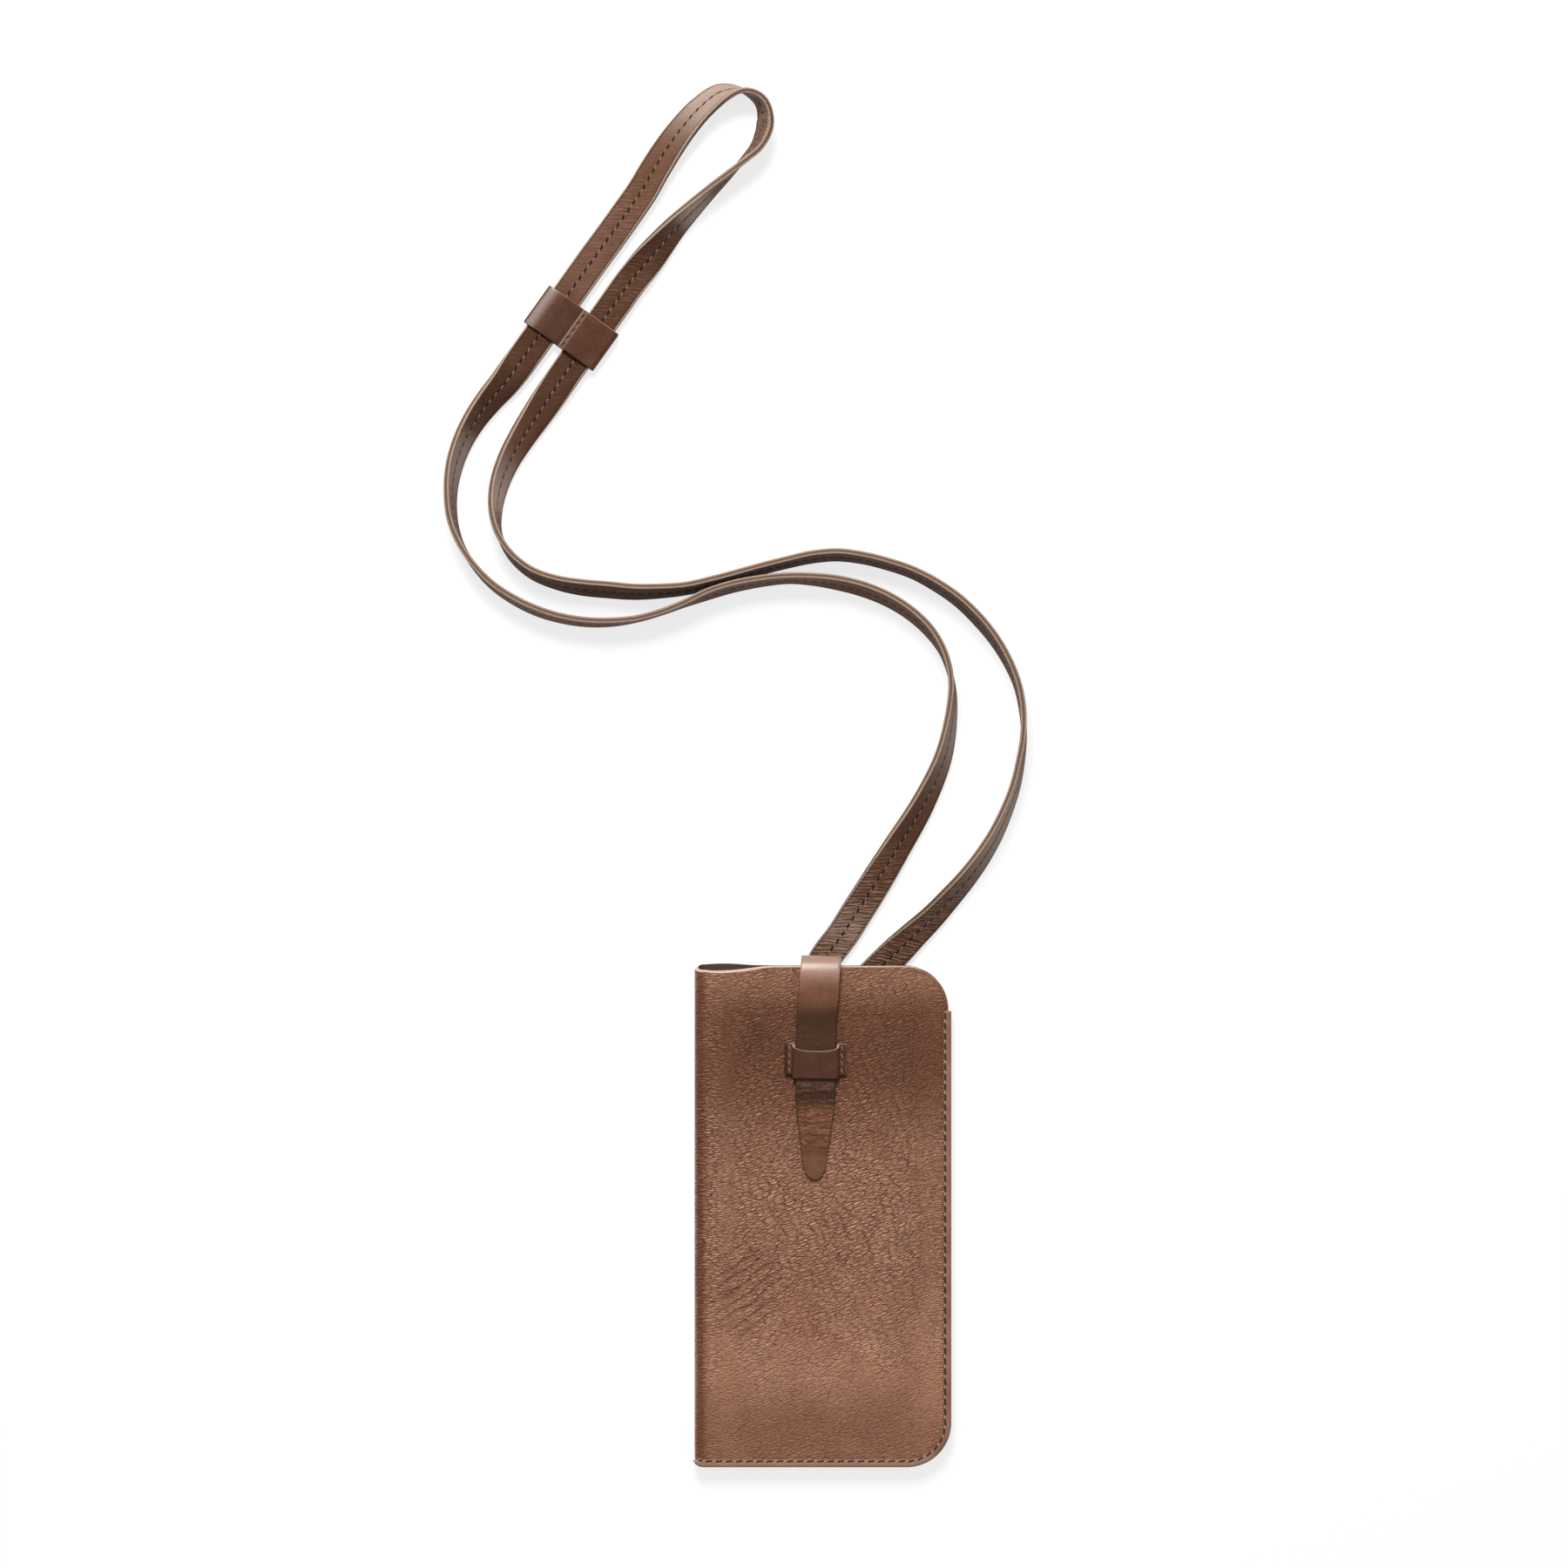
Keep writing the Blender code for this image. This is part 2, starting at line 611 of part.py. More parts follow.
def leg_points(side, order):
    """Straight, flat run of one leg through the slider and its travel."""
    pitch, half, low, high = slider_levels()
    middle, along, across = slider_frame()
    up = SLIDER_LEN / 2.0 + SLIDER_UP + SLIDER_LEAD
    down = SLIDER_LEN / 2.0 + SLIDER_DOWN + SLIDER_LEAD
    out = []
    for d in (-down, -down * 0.5, 0.0, up * 0.33, up * 0.66, up):
        out.append((middle[0] + side * pitch * across[0] + d * along[0],
                    middle[1] + side * pitch * across[1] + d * along[1],
                    0.0, low + GAP))
    return out if order > 0 else out[::-1]


def strap_route():
    """Route points of the whole strap as x, y, lean and lift."""
    def place(points):
        return [(x, MOUTH_Y + y, lean, 0.0) for x, y, lean in points]

    left = place(LEFT_LEG)
    loop = place(TOP_LOOP)
    right = place(RIGHT_LEG)
    first = leg_points(-1.0, 1)
    second = leg_points(1.0, -1)
    raised = first[0][3]
    left[-1] = (*left[-1][:3], raised * 0.35)
    loop[0] = (*loop[0][:3], raised * 0.35)
    loop[-1] = (*loop[-1][:3], raised * 0.35)
    right[0] = (*right[0][:3], raised * 0.35)
    return left + first + loop + second + right


def tame(slope, before, after):
    """Slope that keeps a lean from swinging past the leans beside it."""
    if before * after <= 0.0:
        return 0.0
    most = 3.0 * min(abs(before), abs(after))
    return max(-most, min(most, slope))


def smooth_route(points, step):
    """Even samples of a smooth curve through the points."""
    p = np.array(points, float)
    p = np.vstack([2.0 * p[0] - p[1], p, 2.0 * p[-1] - p[-2]])
    fine = []
    for i in range(1, len(p) - 2):
        p0, p1, p2, p3 = p[i - 1:i + 3]
        d1 = np.linalg.norm(p1[:2] - p0[:2]) ** 0.5
        d2 = np.linalg.norm(p2[:2] - p1[:2]) ** 0.5
        d3 = np.linalg.norm(p3[:2] - p2[:2]) ** 0.5
        m1 = d2 * ((p1 - p0) / d1 - (p2 - p0) / (d1 + d2)) + (p2 - p1)
        m2 = d2 * ((p3 - p2) / d3 - (p3 - p1) / (d2 + d3)) + (p2 - p1)
        for k in (2, 3):
            m1[k] = tame(m1[k], (p1[k] - p0[k]) * d2 / d1, p2[k] - p1[k])
            m2[k] = tame(m2[k], p2[k] - p1[k], (p3[k] - p2[k]) * d2 / d3)
        for t in np.linspace(0.0, 1.0, 16, endpoint=False):
            fine.append((2 * t ** 3 - 3 * t ** 2 + 1) * p1 + (t ** 3 - 2 * t ** 2 + t) * m1
                        + (3 * t ** 2 - 2 * t ** 3) * p2 + (t ** 3 - t ** 2) * m2)
    fine.append(p[-2])
    fine = np.array(fine)
    run = np.concatenate([[0.0], np.cumsum(np.linalg.norm(np.diff(fine[:, :2], axis=0), axis=1))])
    count = max(8, int(round(run[-1] / step)))
    at = np.linspace(0.0, run[-1], count + 1)
    even = np.stack([np.interp(at, run, fine[:, k]) for k in range(4)], axis=1)
    return even, at


def strap_samples():
    """Centre, across and face direction of the strap at each sample."""
    even, run = smooth_route(strap_route(), STRAP_STEP)
    lean = np.radians(even[:, 2])
    z = (np.abs(np.sin(lean)) * STRAP_W / 2.0 + np.abs(np.cos(lean)) * STRAP_T / 2.0
         + even[:, 3])
    centre = np.stack([even[:, 0], even[:, 1], z], axis=1)
    tangent = np.gradient(centre[:, :2], axis=0)
    tangent /= np.linalg.norm(tangent, axis=1)[:, None]
    left = np.stack([-tangent[:, 1], tangent[:, 0], np.zeros(len(z))], axis=1)
    up = np.array([0.0, 0.0, 1.0])
    across = np.cos(lean)[:, None] * left + np.sin(lean)[:, None] * up
    face = -np.sin(lean)[:, None] * left + np.cos(lean)[:, None] * up
    return centre, across, face, run


def strap_leg(name, mat, samples, lap_from, lap_to, first):
    """One leg of the strap, thinned on one face where the two legs join."""
    centre, across, face, run = samples
    low, high = -STRAP_T / 2.0, STRAP_T / 2.0
    start, end = lap_from + 2.0 * GAP, lap_to - 2.0 * GAP
    lap = (0.0, 0.25, 0.5, 0.75, 1.0)
    if first:
        marks = [(s, low, high) for s in run if s < lap_from - 0.001]
        marks += [(lap_from, low, high)]
        marks += [(mix(lap_from + 0.5 * GAP, end, t), low,
                   mix(high - LAP_SKIN - GAP, low + LAP_SKIN, t)) for t in lap]
    else:
        marks = [(mix(start, lap_to - 0.5 * GAP, t),
                  mix(high - LAP_SKIN, low + LAP_SKIN + GAP, t), high) for t in lap]
        marks += [(lap_to, low, high)]
        marks += [(s, low, high) for s in run if s > lap_to + 0.001]
    rings = []
    for s, under, over in marks:
        c = np.array([np.interp(s, run, centre[:, k]) for k in range(3)])
        w = unit(np.array([np.interp(s, run, across[:, k]) for k in range(3)]))
        f = unit(np.array([np.interp(s, run, face[:, k]) for k in range(3)]))
        rings.append([c + w * a + f * b for a, b in rounded_bar(STRAP_W / 2.0, under, over,
                                                                STRAP_EDGE_R)])
    return add_piece(name, skin(rings, [tuple(range(8))]), mat)


def strap_slider(mat, axis):
    """Band round both legs, with a web between them and a lap on its face."""
    pitch, half, low, high = slider_levels()
    reach = pitch + half + SLIDER_END_T
    top = high + SLIDER_T
    lap = top + SLIDER_T
    r = top * 0.45
    outer = []
    for i in range(5):
        a = math.radians(-90.0 + 90.0 * i / 4.0)
        outer.append((reach - r + r * math.cos(a), r + r * math.sin(a)))
    for i in range(1, 5):
        a = math.radians(90.0 * i / 4.0)
        outer.append((reach - r + r * math.cos(a), top - r + r * math.sin(a)))
    outer += [(SLIDER_LAP + 0.004, top), (SLIDER_LAP + 0.001, lap - 0.0003),
              (SLIDER_LAP - 0.001, lap), (0.0003, lap), (0.0, lap - 0.0003), (0.0, top)]
    for i in range(0, 5):
        a = math.radians(90.0 + 90.0 * i / 4.0)
        outer.append((r - reach + r * math.cos(a), top - r + r * math.sin(a)))
    for i in range(1, 5):
        a = math.radians(180.0 + 90.0 * i / 4.0)
        outer.append((r - reach + r * math.cos(a), r + r * math.sin(a)))
    bm = bmesh.new()
    loops = [outer]
    for side in (-1.0, 1.0):
        hole = []
        b = (high - low) * 0.3
        for cx, cz, start in ((half - b, low + b, -90.0), (half - b, high - b, 0.0),
                              (b - half, high - b, 90.0), (b - half, low + b, 180.0)):
            for i in range(3):
                a = math.radians(start + 45.0 * i)
                hole.append((side * pitch + cx + b * math.cos(a), cz + b * math.sin(a)))
        loops.append(hole)
    edges = []
    for loop in loops:
        ring = [bm.verts.new((x, -SLIDER_LEN / 2.0, z)) for x, z in loop]
        for k, v in enumerate(ring):
            edges.append(bm.edges.new((v, ring[(k + 1) % len(ring)])))
    filled = bmesh.ops.triangle_fill(bm, edges=edges, use_beauty=True, use_dissolve=False)
    end = [g for g in filled["geom"] if isinstance(g, bmesh.types.BMFace)]
    grown = bmesh.ops.extrude_face_region(bm, geom=end, use_keep_orig=True)
    moved = [g for g in grown["geom"] if isinstance(g, bmesh.types.BMVert)]
    bmesh.ops.translate(bm, verts=moved, vec=(0.0, SLIDER_LEN, 0.0))
    return add_piece("strap_slider", bm, mat, axis)


def build():
    clear_scene()
    panel = leather("panel_leather", (0.254, 0.130, 0.087), 0.55)
    strip = leather("strip_leather", (0.300, 0.165, 0.115), 0.50)
    smooth = leather("smooth_leather", (0.110, 0.050, 0.032), 0.38)
    strap = leather("strap_leather", (0.175, 0.087, 0.056), 0.42)

    case_shell(panel)
    seam_binding(strip)

    tip_y = MOUTH_Y - TONGUE_LEN
    tip_x = TONGUE_X_AT_MOUTH - TONGUE_LEN * math.tan(TILT)
    fixed = add_axis("tongue_line", (tip_x, tip_y, 0.0), -TONGUE_TILT)
    keeper_loop(smooth, fixed)
    tongue_root(smooth, fixed)
    draw = add_axis("tongue_draw_axis", (tip_x, tip_y, 0.0), -TONGUE_TILT)
    closure_tongue(smooth, draw)

    samples = strap_samples()
    run = samples[3]
    loop_at = lap_position(samples)
    strap_leg("strap_left", strap, samples, loop_at, loop_at + LAP_LEN, True)
    strap_leg("strap_right", strap, samples, loop_at, loop_at + LAP_LEN, False)
    middle, along, across = slider_frame()
    slide = add_axis("slider_axis", (middle[0], middle[1], 0.0), SLIDER_ANGLE - 90.0)
    strap_slider(smooth, slide)
    print("strap length", round(float(run[-1]), 4))


def lap_position(samples):
    """Distance along the strap to the joint just after the top loop."""
    centre, across, face, run = samples
    x, y = TOP_LOOP[10][0], MOUTH_Y + TOP_LOOP[10][1]
    near = np.hypot(centre[:, 0] - x, centre[:, 1] - y)
    return float(run[int(np.argmin(near))]) - LAP_LEN / 2.0


build()
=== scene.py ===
"""Leather glasses case with a tuck-in tongue and a neck strap, lying on a table.

+X is to the right of the front panel, +Y toward the mouth and +Z up. The origin
is under the middle of the case. All sizes are in metres and angles in degrees.
"""

import math
from functools import reduce

import bmesh
import bpy
import numpy as np
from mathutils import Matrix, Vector


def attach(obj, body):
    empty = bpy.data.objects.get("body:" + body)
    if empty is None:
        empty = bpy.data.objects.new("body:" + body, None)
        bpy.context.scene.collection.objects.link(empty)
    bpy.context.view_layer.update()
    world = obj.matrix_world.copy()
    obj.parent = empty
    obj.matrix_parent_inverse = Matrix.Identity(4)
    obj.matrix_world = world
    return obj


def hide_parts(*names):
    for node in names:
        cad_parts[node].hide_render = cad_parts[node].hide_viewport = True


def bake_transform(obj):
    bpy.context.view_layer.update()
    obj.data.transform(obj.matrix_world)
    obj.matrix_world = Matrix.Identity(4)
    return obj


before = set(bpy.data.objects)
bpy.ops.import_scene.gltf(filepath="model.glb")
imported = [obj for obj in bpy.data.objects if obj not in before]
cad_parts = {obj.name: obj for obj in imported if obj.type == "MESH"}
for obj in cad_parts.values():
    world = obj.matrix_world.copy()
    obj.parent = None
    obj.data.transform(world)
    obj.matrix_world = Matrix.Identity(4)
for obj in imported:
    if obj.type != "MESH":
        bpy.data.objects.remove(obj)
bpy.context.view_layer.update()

# Camera and light
PIXEL = 0.000309
PHOTO_PIXELS = 1800
VIEW_CENTRE = (-0.0136, 0.1516)
CAMERA_HEIGHT = 1.4
FOCUS_HEIGHT = 0.006
FILL_LEVEL = 0.36
KEY_LEVEL = 0.92
KEY_FROM = (-0.16, 1.05, 1.05)
KEY_SIZE = 0.50
FLOOR_DROP = 0.0003
FLOOR_SHADOW_SHARE = 0.27
FLOOR_LEVEL = 1.04
FLOOR_HALF = 4.0
FLOOR_COLOUR = (0.96, 0.96, 0.96, 1.0)
WHITE = (1.0, 1.0, 1.0, 1.0)

# Case
GAP = 0.0003
SHEET_T = 0.0013
PANEL_W = 0.0901
PANEL_H = 0.1770
CASE_DEPTH = 0.0100
FOLD_DEPTH = 0.0080
MOUTH_DEPTH = 0.0094
SEW_MARGIN = 0.0030
SIDE_RAMP = 0.022
BOTTOM_RAMP = 0.030
FOLD_RAMP = 0.016
MOUTH_RAMP = 0.026
BOTTOM_CORNER_R = 0.0149
MOUTH_CORNER_R = 0.0155
FOLD_CORNER_R = 0.0030
MOUTH_DIP = 0.0022
MOUTH_DIP_AT = 0.0078
MOUTH_DIP_RUN = 0.0210
MOUTH_CUT = 0.0009
MOUTH_CUT_FAR = 0.00045
RIM_PULL = 0.00022
BACK_STEPS = 40
FOLD_STEPS = 22
FRONT_STEPS = 84
CORNER_STEPS = 24
SIDE_STEPS = 120

BINDING_T = 0.0007
BINDING_COVER = 0.00185
BINDING_LIFT = 0.0021
BINDING_SIDE_LEN = 0.1608
BINDING_END_TURN = 60.0

TONGUE_T = 0.0012
TONGUE_EDGE_R = 0.00026
TONGUE_W = 0.0140
TONGUE_TOP_W = 0.0141
TONGUE_TIP_W = 0.0078
TONGUE_TIP_ROUND = 0.0055
TONGUE_TAPER = 0.0275
TONGUE_LEN = 0.0755
TONGUE_TILT = 0.71
TONGUE_X_AT_MOUTH = -0.0020
TONGUE_REACH = 0.0036
TONGUE_SWAY = 0.0016
SWAY_FROM_LOOP = 0.0016
ARCH_RISE = 0.0016
ARCH_FROM_LOOP = 0.0020
BEND_FRONT_RUN = 0.0100
BEND_FRONT_FULLNESS = 2.2
BEND_RUN = 0.0038
BEND_FULLNESS = 2.8
ROOT_LEN = 0.0260

LOOP_T = 0.0009
LOOP_LEN = 0.0111
LOOP_TAB = 0.00275
LOOP_FROM_MOUTH = 0.0329
LOOP_SIDE_PLAY = 0.00035
LOOP_TOP_PLAY = 0.00035
LOOP_CORNER_R = 0.0009
LOOP_LEAN = 0.0012
LOOP_ARC = 0.0014

# Strap and slider
STRAP_W = 0.0114
STRAP_T = 0.0021
STRAP_EDGE_R = 0.00055
STRAP_RING_STEP = 0.0014
LAP_LEN = 0.0080
SLIDER_LEN = 0.0159
SLIDER_T = 0.0010
SLIDER_END_T = 0.00135
BAND_EDGE_R = 0.00022
SLIDER_WEB = 0.0032
SLIDER_PLAY = 0.0004
SLIDER_LAP = 0.0060
SLIDER_ANGLE = 54.5
SLIDER_FROM_MOUTH = (-0.0893, 0.2265)
SLIDER_UP = 0.0150
SLIDER_DOWN = 0.0040
SLIDER_LEAD = 0.0022

# Sewing
STRAP_PITCH = 0.0033
BINDING_PITCH = 0.0036
BINDING_STITCH_IN = 0.00125
SLIDER_STITCH_AT = 0.0011
SLIDER_CUT = 0.0008
THREAD_T = 0.00042

# Route of the strap from its left end to its right end: x and y from the middle
# of the mouth, then the lean. At 0 it lies flat, at 90 or -90 it stands on edge.
LEFT_LEG = [
    (-0.0039, -0.0071, 0), (0.0014, 0.0029, 0), (0.0071, 0.0105, 0),
    (0.0122, 0.0186, 5), (0.0172, 0.0265, 13), (0.0266, 0.0420, 32),
    (0.0360, 0.0580, 48), (0.0432, 0.0751, 63), (0.0461, 0.0939, 79),
    (0.0455, 0.1030, 88), (0.0427, 0.1116, 94), (0.0376, 0.1191, 101),
    (0.0309, 0.1252, 104), (0.0231, 0.1300, 106), (0.0145, 0.1335, 107),
    (0.0059, 0.1357, 106), (-0.0031, 0.1370, 102), (-0.0124, 0.1374, 99),
    (-0.0223, 0.1363, 100), (-0.0315, 0.1345, 101), (-0.0399, 0.1320, 100),
    (-0.0491, 0.1284, 92), (-0.0569, 0.1255, 90), (-0.0659, 0.1230, 91),
    (-0.0752, 0.1218, 95), (-0.0842, 0.1219, 97), (-0.0934, 0.1234, 98),
    (-0.1020, 0.1261, 99), (-0.1104, 0.1303, 98), (-0.1178, 0.1356, 96),
    (-0.1241, 0.1426, 93), (-0.1288, 0.1504, 89), (-0.1314, 0.1589, 83),
    (-0.1319, 0.1683, 78), (-0.1307, 0.1769, 71), (-0.1278, 0.1855, 64),
    (-0.1236, 0.1933, 56), (-0.1181, 0.2008, 45), (-0.1126, 0.2072, 31),
]
TOP_LOOP = [
    (-0.0751, 0.2595, -5), (-0.0697, 0.2671, -9), (-0.0641, 0.2751, -13),
    (-0.0595, 0.2829, -18), (-0.0546, 0.2905, -24), (-0.0494, 0.2975, -31),
    (-0.0432, 0.3043, -38), (-0.0358, 0.3096, -50), (-0.0274, 0.3102, -84),
    (-0.0216, 0.3062, -103), (-0.0202, 0.2978, -114), (-0.0231, 0.2909, -110),
    (-0.0267, 0.2869, -103), (-0.0329, 0.2809, -91), (-0.0399, 0.2744, -80),
    (-0.0463, 0.2681, -69), (-0.0526, 0.2616, -56), (-0.0582, 0.2550, -38),
    (-0.0632, 0.2490, -17),
]
RIGHT_LEG = [
    (-0.0964, 0.2029, -14), (-0.1017, 0.1950, -32), (-0.1068, 0.1872, -45),
    (-0.1114, 0.1791, -56), (-0.1146, 0.1708, -65), (-0.1160, 0.1623, -76),
    (-0.1150, 0.1536, -89), (-0.1105, 0.1456, -97), (-0.1034, 0.1395, -102),
    (-0.0943, 0.1359, -106), (-0.0855, 0.1342, -110), (-0.0759, 0.1333, -111),
    (-0.0666, 0.1326, -109), (-0.0573, 0.1329, -106), (-0.0482, 0.1338, -103),
    (-0.0392, 0.1359, -102), (-0.0304, 0.1383, -101), (-0.0214, 0.1408, -101),
    (-0.0123, 0.1431, -101), (-0.0034, 0.1450, -102), (0.0056, 0.1457, -102),
    (0.0146, 0.1446, -101), (0.0234, 0.1424, -101), (0.0319, 0.1395, -101),
    (0.0399, 0.1353, -102), (0.0478, 0.1299, -102), (0.0544, 0.1237, -102),
    (0.0606, 0.1163, -100), (0.0654, 0.1086, -97), (0.0692, 0.0998, -93),
    (0.0710, 0.0911, -90), (0.0714, 0.0820, -85), (0.0703, 0.0727, -80),
    (0.0684, 0.0636, -76), (0.0653, 0.0548, -72), (0.0613, 0.0461, -67),
    (0.0566, 0.0383, -62), (0.0511, 0.0308, -57), (0.0450, 0.0237, -51),
    (0.0389, 0.0170, -44), (0.0321, 0.0104, -32), (0.0222, 0.0005, -6),
    (0.0127, -0.0091, 0), (0.0025, -0.0196, 0),
]


def ease(t):
    """Smooth step from 0 to 1 with flat ends."""
    t = np.clip(t, 0.0, 1.0)
    return t * t * t * (t * (t * 6.0 - 15.0) + 10.0)


def mix(a, b, t):
    return a + (b - a) * t


def unit(v):
    v = np.asarray(v, float)
    return v / np.linalg.norm(v, axis=-1, keepdims=True)


def bell(t):
    return np.exp(-t * t)


# Levels and outlines that follow from the sizes
BINDING_OUT = GAP + BINDING_T
SEAM_HALF = SHEET_T + GAP / 2.0
BINDING_INNER = SEAM_HALF + GAP * 0.5
BINDING_OUTER = SEAM_HALF + GAP + BINDING_T
SEAM_Z = BINDING_LIFT + BINDING_T + GAP + SEAM_HALF
FOLD_TOP = SEAM_Z + FOLD_DEPTH / 2.0
FOLD_LOW = SEAM_Z - FOLD_DEPTH / 2.0
STACK_Z = STRAP_T + GAP + TONGUE_T + GAP
ROOT_Z = STRAP_T + GAP + TONGUE_T / 2.0
FRONT_LEG_Z = CASE_DEPTH + GAP + TONGUE_T / 2.0
END_TURN = math.radians(BINDING_END_TURN)
BINDING_PAST_FOLD = (FOLD_CORNER_R + BINDING_OUT) * math.sin(END_TURN) - FOLD_CORNER_R
SIDE_X = (PANEL_W + BINDING_OUT + BINDING_PAST_FOLD) / 2.0 - BINDING_OUT
FOLD_X = SIDE_X - PANEL_W
BOTTOM_Y = -(PANEL_H + BINDING_OUT + TONGUE_REACH) / 2.0 + BINDING_OUT
MOUTH_Y = BOTTOM_Y + PANEL_H
TILT = math.radians(TONGUE_TILT)
STACK_LEFT = TONGUE_X_AT_MOUTH + TONGUE_SWAY - TONGUE_TOP_W / 2.0 - 0.0020
STACK_RIGHT = TONGUE_X_AT_MOUTH + TONGUE_SWAY + TONGUE_TOP_W / 2.0 + 0.0010
STACK_LOW_Y = MOUTH_Y - ROOT_LEN - BEND_RUN - 0.0040
STACK_RAMP = 0.026
LOOP_END = TONGUE_LEN - LOOP_FROM_MOUTH + LOOP_LEN / 2.0
GROOVE_AT = STRAP_W / 2.0 - 0.00085
UP = np.array([0.0, 0.0, 1.0])


# View and light


def add_camera():
    data = bpy.data.cameras.new("camera")
    data.sensor_width = 36.0
    data.lens = data.sensor_width * (CAMERA_HEIGHT - FOCUS_HEIGHT) / (PHOTO_PIXELS * PIXEL)
    camera = new_object("camera", data)
    camera.location = (*VIEW_CENTRE, CAMERA_HEIGHT)
    bpy.context.scene.camera = camera
    bpy.context.scene.view_settings.view_transform = "Standard"


def add_light():
    """Broad key light from beyond the mouth and an even fill from all round."""
    away = np.array(KEY_FROM) - np.array([*VIEW_CENTRE, 0.0])
    distance = float(np.linalg.norm(away))
    data = bpy.data.lights.new("key", "AREA")
    data.shape = "SQUARE"
    data.size = KEY_SIZE
    data.energy = KEY_LEVEL * math.pi ** 2 * distance ** 2 / (away[2] / distance)
    key = new_object("key", data)
    key.location = KEY_FROM
    key.rotation_euler = Vector(away).to_track_quat("Z", "Y").to_euler()

    world = bpy.data.worlds.new("studio")
    bpy.context.scene.world = world
    world.use_nodes = True
    n = Nodes(world.node_tree, clear=True)
    level = n.plus(FILL_LEVEL, n.times(n.seen(), 1.0 - FILL_LEVEL))
    back = n.add("ShaderNodeBackground", {"Color": WHITE, "Strength": level})
    n.add("ShaderNodeOutputWorld", {"Surface": back.outputs["Background"]})


def add_floor():
    """Pale table top that keeps the shadow of the case and the strap."""
    mat = bpy.data.materials.new("table_top")
    mat.use_nodes = True
    n = Nodes(mat.node_tree, clear=True)
    share = n.times(n.seen(), 1.0 - FLOOR_SHADOW_SHARE)
    matt = n.add("ShaderNodeBsdfDiffuse", {"Color": FLOOR_COLOUR})
    glow = n.add("ShaderNodeEmission", {"Color": WHITE, "Strength": FLOOR_LEVEL})
    both = n.add("ShaderNodeMixShader", {0: share, 1: matt.outputs[0], 2: glow.outputs[0]})
    n.add("ShaderNodeOutputMaterial", {"Surface": both.outputs[0]})
    corners = [(x * FLOOR_HALF, y * FLOOR_HALF, -FLOOR_DROP)
               for x, y in ((-1, -1), (1, -1), (1, 1), (-1, 1))]
    floor = solid("table", corners, [(0, 1, 2, 3)], [mat])


# Node trees and meshes


